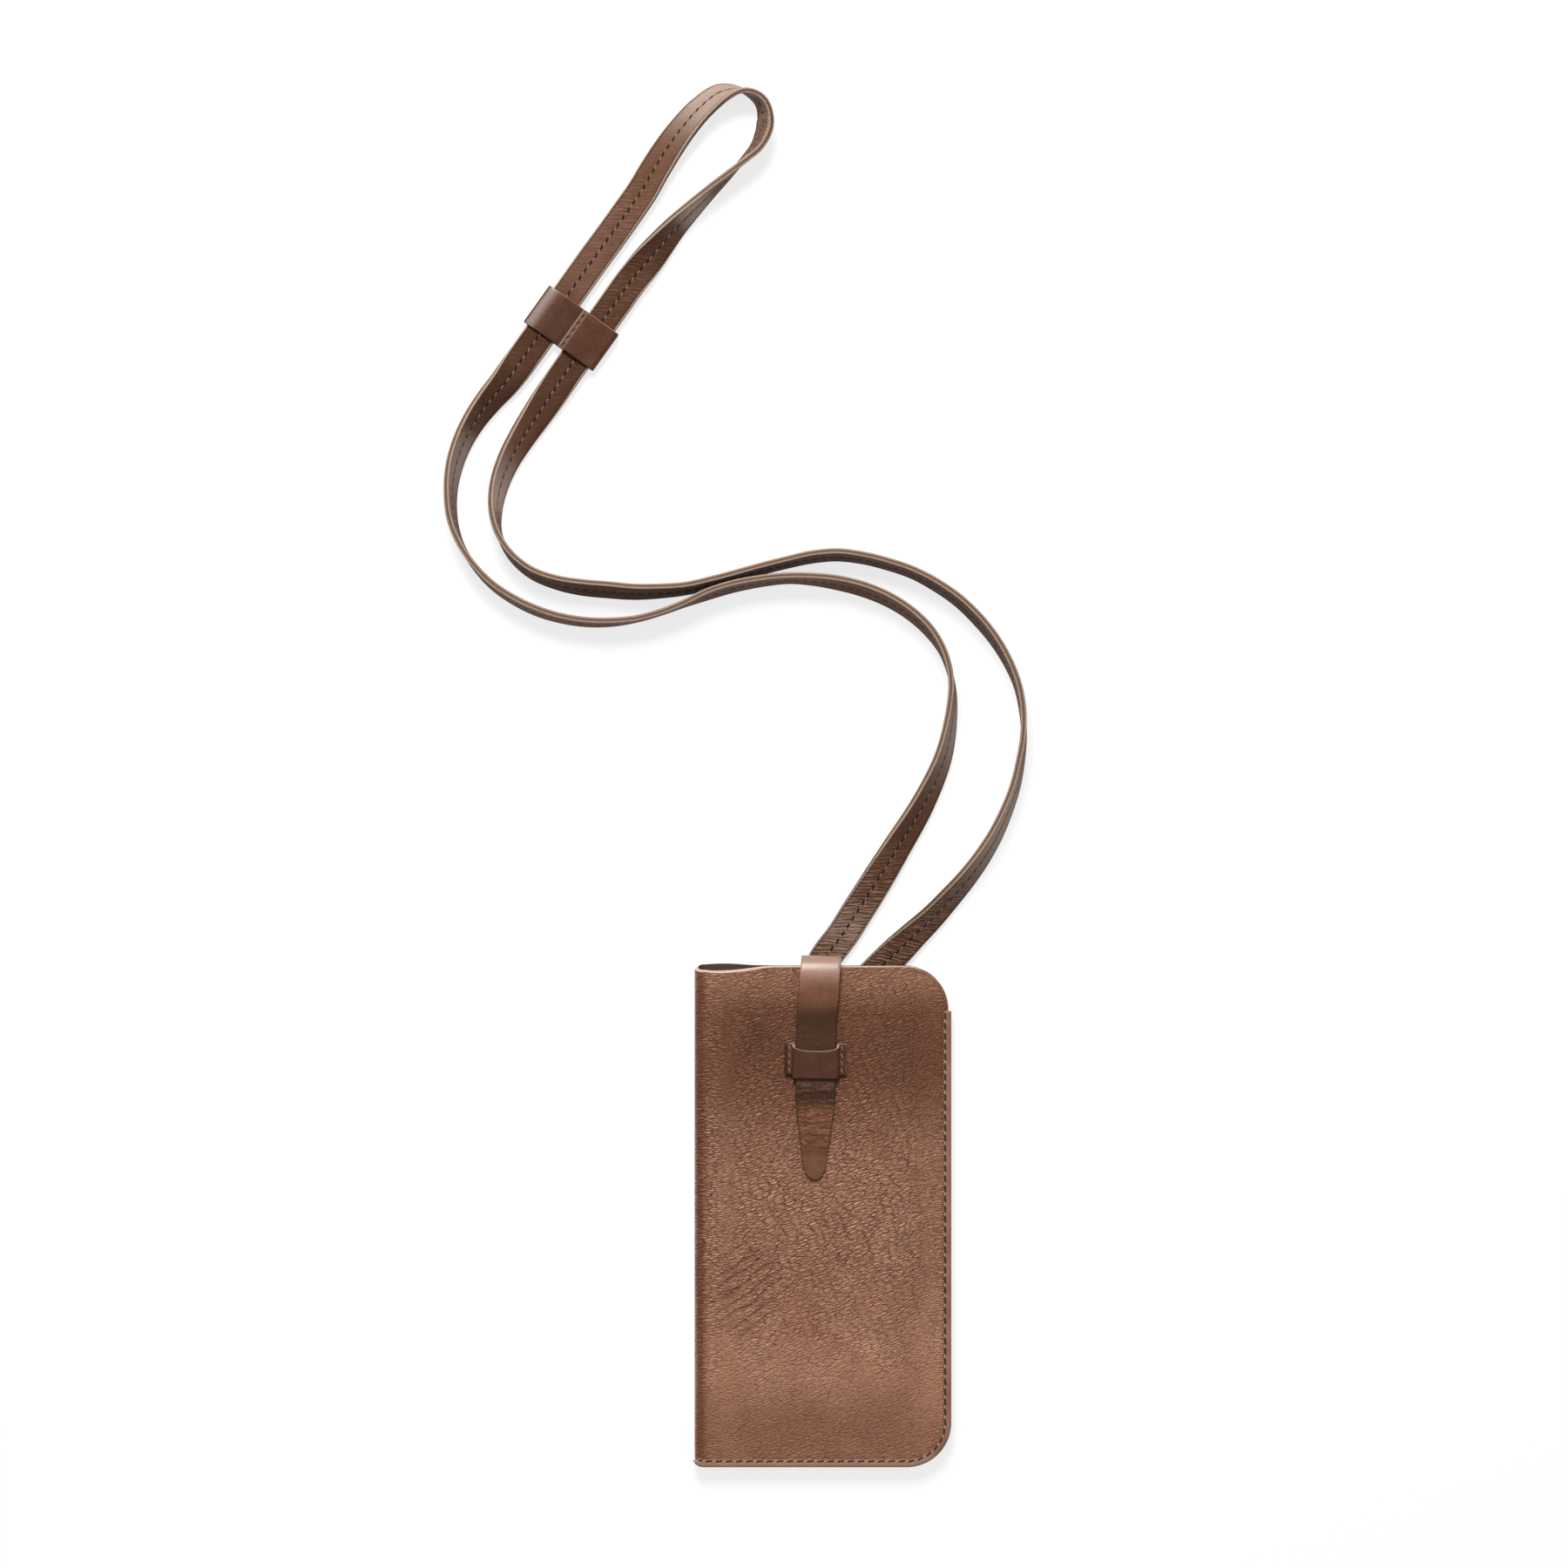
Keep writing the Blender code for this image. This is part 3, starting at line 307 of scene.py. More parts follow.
class Nodes:
    """Shorthand for adding nodes to one tree and linking them."""

    def __init__(self, tree, clear=False):
        self.tree = tree
        if clear:
            tree.nodes.clear()

    def add(self, kind, inputs=None, **settings):
        node = self.tree.nodes.new(kind)
        for key, value in settings.items():
            setattr(node, key, value)
        for key, value in (inputs or {}).items():
            self.put(node.inputs[key], value)
        return node

    def put(self, socket, value):
        if isinstance(value, bpy.types.NodeSocket):
            self.tree.links.new(value, socket)
        else:
            socket.default_value = value

    def math(self, operation, *values):
        return self.add("ShaderNodeMath", dict(enumerate(values)),
                        operation=operation).outputs[0]

    def plus(self, *values):
        return reduce(lambda a, b: self.math("ADD", a, b), values)

    def times(self, *values):
        return reduce(lambda a, b: self.math("MULTIPLY", a, b), values)

    def less(self, a, b):
        return self.math("SUBTRACT", a, b)

    def over(self, a, b):
        return self.math("DIVIDE", a, b)

    def size(self, value):
        return self.math("ABSOLUTE", value)

    def seen(self):
        """1 where the camera looks, straight or by way of gloss or glass."""
        path = self.add("ShaderNodeLightPath").outputs
        rays = [path["Is %s Ray" % kind] for kind in ("Camera", "Glossy", "Transmission")]
        return reduce(lambda a, b: self.math("MAXIMUM", a, b), rays)

    def vector(self, operation, a, b):
        node = self.add("ShaderNodeVectorMath", {0: a, 1: b}, operation=operation)
        return node.outputs["Vector"]

    def scaled(self, vector, scale):
        node = self.add("ShaderNodeVectorMath", {0: vector, "Scale": scale}, operation="SCALE")
        return node.outputs["Vector"]

    def turned(self, vector, angle):
        node = self.add("ShaderNodeVectorRotate", {"Vector": vector, "Angle": angle},
                        rotation_type="Z_AXIS")
        return node.outputs["Vector"]

    def joined(self, x=0.0, y=0.0, z=0.0):
        return self.add("ShaderNodeCombineXYZ", {"X": x, "Y": y, "Z": z}).outputs[0]

    def parts(self, vector):
        return self.add("ShaderNodeSeparateXYZ", {"Vector": vector}).outputs

    def distance(self, place, centre, stretch=(1.0, 1.0, 1.0)):
        off = self.vector("MULTIPLY", self.vector("SUBTRACT", place, centre), stretch)
        node = self.add("ShaderNodeVectorMath", {0: off}, operation="LENGTH")
        return node.outputs["Value"]

    def span(self, value, low, high, to_low=0.0, to_high=1.0):
        """Value from one range to another, eased and held at the ends."""
        node = self.add("ShaderNodeMapRange", {
            "Value": value, "From Min": low, "From Max": high,
            "To Min": to_low, "To Max": to_high}, interpolation_type="SMOOTHSTEP")
        return node.outputs["Result"]

    def noise(self, vector, scale, detail=2.0, roughness=0.5, output="Fac"):
        node = self.add("ShaderNodeTexNoise", {
            "Vector": vector, "Scale": scale, "Detail": detail, "Roughness": roughness})
        return node.outputs[output]

    def bands(self, vector, scale, distortion, detail_scale):
        node = self.add("ShaderNodeTexWave", {
            "Vector": vector, "Scale": scale, "Distortion": distortion, "Detail": 2.0,
            "Detail Scale": detail_scale, "Detail Roughness": 0.6},
            wave_type="BANDS", bands_direction="X")
        return node.outputs["Fac"]

    def cells(self, vector, feature):
        node = self.add("ShaderNodeTexVoronoi", {"Vector": vector, "Scale": 1.0},
                        feature=feature, voronoi_dimensions="2D")
        return node.outputs

    def tint(self, factor, a, b):
        node = self.add("ShaderNodeMix", data_type="RGBA", blend_type="MIX")
        node.clamp_factor = True
        self.put(node.inputs[0], factor)
        for key, colour in ((6, a), (7, b)):
            plain = isinstance(colour, tuple)
            self.put(node.inputs[key], (*colour, 1.0) if plain else colour)
        return node.outputs[2]

    def coats(self, colour, *coats):
        """Colour with one thin coat after another, each a share and a colour."""
        for share, coat in coats:
            colour = self.tint(share, colour, coat)
        return colour

    def mottled(self, noise, spread, dark, light):
        return self.tint(self.span(noise, 0.5 - spread, 0.5 + spread), dark, light)

    def group(self, tree, **inputs):
        """Outputs of a group whose inputs are given with _ in place of spaces."""
        inputs = {key.replace("_", " "): value for key, value in inputs.items()}
        return self.add("ShaderNodeGroup", inputs, node_tree=tree).outputs

    def attribute(self, name):
        return self.add("ShaderNodeAttribute", attribute_name=name).outputs["Fac"]

    def place(self):
        return self.add("ShaderNodeTexCoord").outputs["Object"]


def new_object(name, data):
    ob = bpy.data.objects.new(name, data)
    bpy.context.collection.objects.link(ob)
    return ob


def mark(mesh, key, values, kind="FLOAT", field="value"):
    """Writes one value or one vector for each point of a mesh."""
    layer = mesh.attributes.new(key, kind, "POINT")
    layer.data.foreach_set(field, np.asarray(values, np.float32).ravel())


def solid(name, verts, faces, materials, face_material=None, attributes=None, outward=False):
    """Mesh object with its place in its mesh."""
    mesh = bpy.data.meshes.new(name)
    mesh.from_pydata([tuple(map(float, v)) for v in verts], [], [tuple(f) for f in faces])
    for mat in materials:
        mesh.materials.append(mat)
    if face_material is not None:
        mesh.polygons.foreach_set("material_index", np.asarray(face_material, np.int32))
    for key, values in (attributes or {}).items():
        mark(mesh, key, values)
    mesh.polygons.foreach_set("use_smooth", np.ones(len(mesh.polygons), bool))
    if outward:
        bm = bmesh.new()
        bm.from_mesh(mesh)
        bmesh.ops.recalc_face_normals(bm, faces=bm.faces)
        bm.to_mesh(mesh)
        bm.free()
    mesh.update()
    return new_object(name, mesh)


def ring_faces(rings, count):
    """Faces of a closed tube through equal rings, with a cap at each end."""
    faces = []
    for a in range(0, (rings - 1) * count, count):
        for k in range(count):
            n = (k + 1) % count
            faces.append((a + k, a + n, a + count + n, a + count + k))
    last = (rings - 1) * count
    return faces + [tuple(range(count))[::-1], tuple(range(last, last + count))]


def distances(points):
    """Distance of each point from the first, along the line through them."""
    steps = np.linalg.norm(np.diff(points, axis=0), axis=1)
    return np.concatenate([[0.0], np.cumsum(steps)])


def resample(at, run, values):
    return np.stack([np.interp(at, run, column) for column in np.asarray(values).T], axis=1)


def section(thick, edge, steps):
    """Points round a flat leather strip: share of the half width, then offset.

    Each point is (share, outward offset, height, side).
    """
    half = thick / 2.0
    turn = [math.radians(a) for a in (22.0, 45.0, 68.0, 90.0)]
    top = [(mix(1.0, -1.0, k / steps), 0.0, half, 1.0) for k in range(steps + 1)]
    left = [(-1.0, -edge * math.sin(a), half - edge + edge * math.cos(a), 1.0 - a / math.pi)
            for a in turn]
    left += [(s, o, -h, -w) for s, o, h, w in reversed(left)]
    bottom = [(-s, 0.0, -h, -w) for s, o, h, w in top]
    right = [(-s, -o, -h, -w) for s, o, h, w in left]
    return np.array(top + left + bottom + right)


def sweep(name, lines, flat, lift, side, material, **per_ring):
    """Closed leather tube; each point remembers its place on the strip.

    The lines are the centres, the ways across and the facings of the rings. A
    single way across goes for all of them.
    """
    shape = lines[0].shape
    centres, across, facing = (np.broadcast_to(line, shape)[:, None, :] for line in lines)
    verts = centres + across * flat[:, :, None] + facing * lift[:, :, None]
    values = {"across": flat, "side": np.broadcast_to(side, flat.shape)}
    for key, ring in per_ring.items():
        values[key] = np.broadcast_to(np.asarray(ring)[:, None], flat.shape)
    return solid(name, verts.reshape(-1, 3), ring_faces(*flat.shape), [material],
                 attributes=values, outward=True)


def strip(name, lines, half_widths, thick, edge, steps, material, shape=None, **per_ring):
    """Leather strip along a line of centres, its ends slightly rounded."""
    run = distances(lines[0])
    share, offset, height, side = section(thick, edge, steps).T
    flat = (np.broadcast_to(half_widths, run.shape)[:, None] - edge) * share + offset
    lift = np.broadcast_to(height, flat.shape).copy()
    if shape is not None:
        lift = lift + shape(run[:, None], flat, side)
    lift[[0, -1]] *= 0.55
    return sweep(name, lines, flat, lift, side, material, along=run, **per_ring)


# Leather


def new_group(name, inputs, outputs):
    """Empty shader group. An input without a value is a vector."""
    tree = bpy.data.node_groups.new(name, "ShaderNodeTree")
    for key, value in inputs.items():
        kind = "NodeSocketVector" if value is None else "NodeSocketFloat"
        socket = tree.interface.new_socket(key, in_out="INPUT", socket_type=kind)
        if value is not None:
            socket.default_value = value
    for key in outputs:
        tree.interface.new_socket(key, in_out="OUTPUT", socket_type="NodeSocketFloat")
    n = Nodes(tree)
    return n, n.add("NodeGroupInput").outputs, n.add("NodeGroupOutput").inputs


def grain_group():
    """Leather pebbles and longer creases on a flat sheet. The vector is in millimetres."""
    n, given, out = new_group("leather grain", {
        "Vector": None, "Pebble Size": 1.1, "Pebble Stretch": 1.7, "Turn": 0.0,
        "Crease Length": 5.5, "Crease Width": 1.8, "Crease Turn": 0.0, "Crease Amount": 0.55,
        "Ripple Amount": 0.25, "Fine Amount": 0.06}, ("Height", "Valley", "Painted Highlight", "Pebble"))
    sheet = given["Vector"]

    def wander(scale, detail, reach):
        swing = n.noise(sheet, scale, detail, output="Color")
        return n.scaled(n.vector("SUBTRACT", swing, (0.5, 0.5, 0.5)), reach)

    drift = n.vector("ADD", wander(0.13, 1.0, 1.5), wander(0.9, 2.0, 0.14))
    moved = n.vector("ADD", sheet, drift)
    size = given["Pebble Size"]
    pebbles = n.vector("DIVIDE", n.turned(moved, given["Turn"]),
                       n.joined(n.times(size, given["Pebble Stretch"]), size, 1.0))
    cell = n.cells(pebbles, "F1")
    dome = n.times(n.math("POWER", cell["Distance"], 1.8), 0.6)
    edge = n.span(n.cells(pebbles, "DISTANCE_TO_EDGE")["Distance"], 0.0, 0.20, 0.7, 0.0)
    box = n.joined(given["Crease Length"], given["Crease Width"], 1.0)
    patch = n.span(n.noise(sheet, 0.16), 0.38, 0.62, 0.35, 1.0)
    folds = []
    # The second copy of the creases, shifted across them, marks a painted highlight line beside
    # each crease
    for shift, width in ((0.0, 0.12), (-0.42, 0.10)):
        around = n.turned(n.vector("ADD", moved, (0.0, shift, 0.0)), given["Crease Turn"])
        fold = n.cells(n.vector("DIVIDE", around, box), "DISTANCE_TO_EDGE")["Distance"]
        folds.append(n.times(n.span(fold, 0.0, width, 1.0, 0.0), patch))
    ripple = n.noise(n.vector("MULTIPLY", pebbles, (0.50, 1.0, 1.0)), 1.0, 2.0, 0.55)
    low = n.plus(dome, edge, n.times(folds[0], given["Crease Amount"]),
                 n.times(n.span(ripple, 0.30, 0.70), given["Ripple Amount"]))
    fine = n.times(n.noise(sheet, 3.2, 3.0, 0.6), given["Fine Amount"])
    n.put(out["Height"], n.less(fine, low))
    n.put(out["Valley"], n.span(low, 0.45, 1.35))
    n.put(out["Painted Highlight"], n.times(folds[1], n.less(1.0, folds[0])))
    n.put(out["Pebble"], n.add("ShaderNodeSeparateColor", {"Color": cell["Color"]}).outputs[0])
    return n.tree


def sewing_group():
    """Dark needle holes along a sewn line, with a shallow channel between them."""
    n, given, out = new_group("sewn line", {
        "Along": 0.0, "Across": 0.0, "Pitch": 0.0033, "Width": 0.0005, "Slant": 0.15,
        "Hole Share": 0.5}, ("Hole", "Channel"))
    part = n.less(n.math("FRACT", n.over(given["Along"], given["Pitch"])), 0.5)
    drift = n.times(part, given["Pitch"], given["Slant"])
    off = n.over(n.size(n.less(given["Across"], drift)), given["Width"])
    end = n.times(given["Hole Share"], 0.5)
    slot = n.span(n.less(n.size(part), end), -0.05, 0.05, 1.0, 0.0)
    n.put(out["Hole"], n.times(n.span(off, 0.35, 0.75, 1.0, 0.0), slot))
    wide = n.over(n.size(given["Across"]), given["Width"])
    n.put(out["Channel"], n.span(wide, 0.4, 1.6, 1.0, 0.0))
    return n.tree


class Leather(Nodes):
    """Nodes of one leather material, with constant gloss settings."""

    def __init__(self, name, roughness, specular=0.30, gleam=(1.0, 0.70, 0.54)):
        self.mat = bpy.data.materials.new(name)
        self.mat.use_nodes = True
        super().__init__(self.mat.node_tree)
        self.shader = self.tree.nodes["Principled BSDF"].inputs
        self.shader["Roughness"].default_value = roughness
        self.shader["Specular IOR Level"].default_value = specular
        self.shader["Specular Tint"].default_value = (*gleam, 1.0)

    def object_mm(self):
        return self.scaled(self.place(), 1000.0)

    def strip_mm(self):
        """Place along and across a strip, its side, and all three in millimetres."""
        along, across, side = (self.attribute(key) for key in ("along", "across", "side"))
        made = self.joined(along, across, self.times(side, 0.01))
        return along, across, side, self.scaled(made, 1000.0)

    def finish(self, colour, height, depth):
        bump = self.add("ShaderNodeBump", {"Height": height, "Distance": depth,
                                           "Strength": 1.0})
        self.put(self.shader["Normal"], bump.outputs["Normal"])
        self.put(self.shader["Base Color"], colour)
        return self.mat


def panel_leather():
    """Soft pebbled full-grain leather of the two panels."""
    n = Leather("panel_leather", 0.52, 0.22)
    place = n.place()
    x, y, _ = n.parts(place)
    mm = n.scaled(n.joined(n.attribute("sheet"), y), 1000.0)
    grains = [n.group(GRAIN, Vector=mm, Pebble_Size=0.72, Pebble_Stretch=4.0,
                      Turn=math.radians(turn), Crease_Length=length, Crease_Width=1.5,
                      Crease_Turn=math.radians(crease), Crease_Amount=1.05,
                      Ripple_Amount=0.22)
              for turn, length, crease in ((-3.0, 5.6, 0.0), (-20.0, 5.4, -20.0))]
    level = n.math("MAXIMUM", n.span(x, FOLD_X + 0.006, FOLD_X + 0.018, 1.0, 0.0),
                   n.span(x, SIDE_X - 0.016, SIDE_X - 0.002, 0.0, 0.8))

    def both(key):
        return n.plus(n.times(grains[0][key], level),
                      n.times(grains[1][key], n.less(1.0, level)))

    # The grain is deepest in the middle of the panel and fine toward its ends
    depth = n.times(n.span(y, BOTTOM_Y + 0.015, BOTTOM_Y + 0.082, 0.34, 1.0),
                    n.span(y, MOUTH_Y - 0.075, MOUTH_Y - 0.030, 1.0, 0.70),
                    n.span(n.noise(mm, 0.055), 0.35, 0.65, 0.88, 1.12),
                    n.span(y, MOUTH_Y - 0.030, MOUTH_Y - 0.004, 1.0, 0.85))
    # A patch of bolder slanting creases low on the left
    patch = n.distance(place, (FOLD_X + 0.018, -0.027, 0.008), (1.0, 0.75, 0.2))
    bold = n.vector("MULTIPLY", n.turned(mm, math.radians(54.0)), (1.0, 0.35, 1.0))
    bold = n.times(n.span(n.bands(bold, 0.085, 7.0, 1.4), 0.0, 0.45, 1.0, 0.0),
                   n.span(patch, 0.004, 0.018, 1.0, 0.0))
    valley, tone = both("Valley"), both("Pebble")
    red = n.noise(n.vector("ADD", mm, (37.0, 11.0, 5.0)), 0.04)
    # Painted shade over the upper part of the panel, easing off just under the mouth and near
    # the fold
    shade = n.times(n.span(y, MOUTH_Y - 0.078, MOUTH_Y - 0.034, 0.0, 0.90),
                    n.span(y, MOUTH_Y - 0.018, MOUTH_Y - 0.003, 1.0, 0.40),
                    n.span(x, FOLD_X + 0.002, FOLD_X + 0.014, 0.72, 1.0))
    painted_shade_spot = n.distance(place, (-0.0228, 0.0620, 0.0095))
    inside = n.times(n.span(x, FOLD_X + 0.0003, FOLD_X + 0.0012),
                     n.span(x, FOLD_X + 0.0020, FOLD_X + 0.0056, 0.85, 0.0))
    colour = n.coats(
        n.mottled(n.noise(mm, 0.055, 3.0), 0.14, (0.435, 0.208, 0.130), (0.505, 0.255, 0.163)),
        (n.span(tone, 0.45, 1.0, 0.0, 0.20), (0.410, 0.168, 0.108)),
        (n.span(tone, 0.0, 0.5, 0.20, 0.0), (0.318, 0.182, 0.118)),
        (n.span(red, 0.50, 0.68, 0.0, 0.30), (0.350, 0.150, 0.091)),
        (shade, (0.140, 0.054, 0.029)),
        # Painted shade in a spot left of the keeper
        (n.span(painted_shade_spot, 0.0, 0.0095, 0.50, 0.0), (0.085, 0.036, 0.022)),
        (n.span(y, BOTTOM_Y + 0.004, BOTTOM_Y + 0.040, 0.75, 0.0), (0.235, 0.103, 0.059)),
        # Painted shade just inside the fold's rounded edge, and a painted highlight along its
        # very edge
        (inside, (0.145, 0.048, 0.026)),
        (n.span(x, FOLD_X, FOLD_X + 0.0006, 0.55, 0.0), (0.460, 0.320, 0.250)),
        # Painted shade in the grain's valleys and bold creases, and painted highlight lines
        # beside the creases
        (n.times(valley, depth, 0.48), (0.112, 0.044, 0.024)),
        (n.times(bold, 0.38), (0.125, 0.045, 0.024)),
        (n.times(both("Painted Highlight"), depth, 0.12), (0.520, 0.320, 0.235)))
    n.put(n.shader["Roughness"], n.span(valley, 0.0, 1.0, 0.42, 0.62))
    return n.finish(colour, n.less(n.times(both("Height"), depth), n.times(bold, 1.1)), 0.00086)


def flesh_leather():
    """Dark suede of the inner side."""
    n = Leather("flesh_side", 0.9, 0.15)
    nap = n.noise(n.object_mm(), 2.2, 4.0, 0.7)
    return n.finish(n.tint(nap, (0.060, 0.030, 0.019), (0.105, 0.056, 0.037)), nap, 0.00012)


def fibres(name, dark, light, roughness, specular, scale, detail, fineness):
    """Cut edge or waxed thread, mottled by its fibres."""
    n = Leather(name, roughness, specular)
    noise = n.noise(n.object_mm(), scale, detail, fineness)
    return n.finish(n.mottled(noise, 0.15, dark, light), noise, 0.00010)


def sewing_thread(name, dark, light):
    return fibres(name, dark, light, 0.55, 0.3, 4.5, 2.0, 0.5)


def strip_leather():
    """Smooth light strip that binds the seam, dark at its needle holes."""
    n = Leather("strip_leather", 0.46)
    along, across, _, mm = n.strip_mm()
    grain = n.group(GRAIN, Vector=mm, Pebble_Size=0.60, Pebble_Stretch=1.3, Crease_Amount=0.10,
                    Crease_Length=2.0, Crease_Width=3.0)
    sewn = n.group(SEWN, Along=along, Across=across, Width=0.00056, Pitch=BINDING_PITCH,
                   Slant=0.10, Hole_Share=0.66)
    low = n.span(n.parts(n.place())["Y"], BOTTOM_Y + 0.001, BOTTOM_Y + 0.006, 0.45, 0.0)
    colour = n.coats(
        n.mottled(n.noise(mm, 0.16, 3.0), 0.15, (0.215, 0.104, 0.064), (0.275, 0.143, 0.093)),
        (low, (0.420, 0.255, 0.188)),
        # Painted shade in the grain's valleys and along the sewn channel
        (n.times(grain["Valley"], 0.20), (0.16, 0.080, 0.055)),
        (n.times(sewn["Channel"], 0.45), (0.15, 0.080, 0.058)),
        (sewn["Hole"], (0.030, 0.014, 0.012)))
    height = n.less(n.times(grain["Height"], 0.3), n.times(sewn["Hole"], 1.4))
    return n.finish(colour, height, 0.00014)


def smooth_leather(name, dark, light, cut, roughness=0.40):
    """Firm smooth leather with a satin face, its cut edges in a paler colour."""
    n = Leather(name, roughness, 0.22)
    mm = n.strip_mm()[3]
    grain = n.group(GRAIN, Vector=mm, Pebble_Size=0.55, Pebble_Stretch=1.2, Turn=0.4,
                    Crease_Length=1.2, Crease_Width=4.0, Crease_Amount=0.12)
    creased, rim, polished = (n.attribute(key) for key in ("creased", "rim", "polished"))
    drift = n.scaled(n.noise(mm, 0.30, output="Color"), 2.6)
    stretch = n.vector("MULTIPLY", mm, (1.0, 0.20, 1.0))
    waves = n.noise(n.vector("ADD", stretch, drift), 0.50, 2.0, 0.45)

    def ridge(level, width):
        off = n.size(n.less(waves, level))
        return n.times(n.span(off, 0.0, width, 1.0, 0.0), creased)

    def deeper(share):
        return tuple(c * share for c in dark)

    line = ridge(0.5, 0.045)
    colour = n.coats(
        n.mottled(n.noise(mm, 0.14, 3.0), 0.18, dark, light),
        # Painted shade along the wrinkle lines and painted highlights on their ridges
        (n.times(line, 0.65), deeper(0.40)),
        (n.times(ridge(0.555, 0.035), 0.45), tuple(c * 1.8 for c in light)),
        (n.span(rim, 0.0, 1.0, 0.0, 0.90), cut),
        # Painted shade along the edges whose rim mark is below 0
        (n.span(rim, -1.0, 0.0, 0.75, 0.0), deeper(0.30)),
        # Painted shade where the gloss mark is below 0; above 0, a painted highlight and a
        # glossier coat
        (n.span(polished, -1.0, 0.0, 0.92, 0.0), deeper(0.26)),
        (n.span(polished, 0.0, 1.0, 0.0, 0.60), tuple(c * 1.6 + 0.15 for c in light)))
    n.put(n.shader["Coat Weight"], n.span(polished, 0.0, 1.0, 0.0, 0.72))
    n.shader["Coat Roughness"].default_value = 0.30
    height = n.less(n.times(grain["Height"], 0.22), n.times(line, 1.2))
    return n.finish(colour, n.plus(height, n.times(waves, creased, 7.0)), 0.00022)


def strap_leather():
    """Creased strap leather with painted shade and highlights, pale along its edges and sewn
    down its middle.
    """
    n = Leather("strap_leather", 0.50, 0.07, (1.0, 0.72, 0.56))
    along, across, side, mm = n.strip_mm()
    grain = n.group(GRAIN, Vector=mm, Pebble_Size=0.65, Pebble_Stretch=0.8, Turn=0.3,
                    Crease_Length=1.3, Crease_Width=5.0, Crease_Amount=0.30)
    sewn = n.group(SEWN, Along=along, Across=across, Width=0.00050, Pitch=STRAP_PITCH,
                   Slant=0.20, Hole_Share=0.50)
    creased, shaded = n.attribute("creased"), n.attribute("shaded")
    slant = n.joined(n.times(n.plus(along, n.times(across, 0.60)), 1000.0),
                     n.times(across, 400.0), n.times(side, 9.0))
    loose = n.noise(n.vector("MULTIPLY", slant, (1.0, 0.5, 1.0)), 1.3, 2.0, 0.55)
    waves = n.plus(n.times(n.bands(slant, 0.22, 7.5, 1.5), 0.45),
                   n.span(loose, 0.25, 0.75, 0.0, 0.55))
    tone = n.noise(n.vector("MULTIPLY", mm, (0.35, 1.0, 1.0)), 0.12, 3.0)
    out = n.size(across)
    edge = n.span(out, STRAP_W / 2.0 - 0.00070, STRAP_W / 2.0 - 0.00050, 0.0, 0.90)
    groove = n.size(n.less(out, GROOVE_AT))
    colour = n.coats(
        n.mottled(tone, 0.16, (0.105, 0.047, 0.027), (0.140, 0.066, 0.039)),
        (n.times(creased, 0.55), (0.165, 0.080, 0.049)),
        # Painted shade where the shaded mark is above 0, and painted sheen and highlights where
        # it is below 0
        (n.span(shaded, 0.0, 1.0, 0.0, 0.85), (0.032, 0.011, 0.006)),
        (n.span(shaded, -1.0, 0.0, 0.66, 0.0), (0.530, 0.412, 0.335)),
        # Painted shade in the grain's valleys, the wrinkles' troughs and along the sewn
        # channel, and painted highlights on the wrinkles' crests
        (n.times(grain["Valley"], 0.30), (0.045, 0.020, 0.012)),
        (n.times(n.span(waves, 0.56, 0.80, 0.0, 0.46), creased), (0.400, 0.245, 0.175)),
        (n.times(n.span(waves, 0.18, 0.40, 0.58, 0.0), creased), (0.040, 0.017, 0.011)),
        (n.times(sewn["Channel"], 0.30), (0.085, 0.042, 0.030)),
        (sewn["Hole"], (0.022, 0.010, 0.008)),
        # Pale rolled edges: partly the edges' own colour, partly a painted highlight
        (edge, (0.395, 0.285, 0.215)),
        (n.span(n.size(side), 0.28, 0.50, 0.90, 0.0), (0.120, 0.066, 0.042)),
        (n.span(groove, 0.00006, 0.00020, 0.90, 0.0), (0.030, 0.013, 0.009)))
    height = n.plus(n.times(grain["Height"], 0.45), n.times(waves, creased, 2.2))
    return n.finish(colour, n.less(height, n.times(sewn["Hole"], 1.5)), 0.00024)


# Stitches


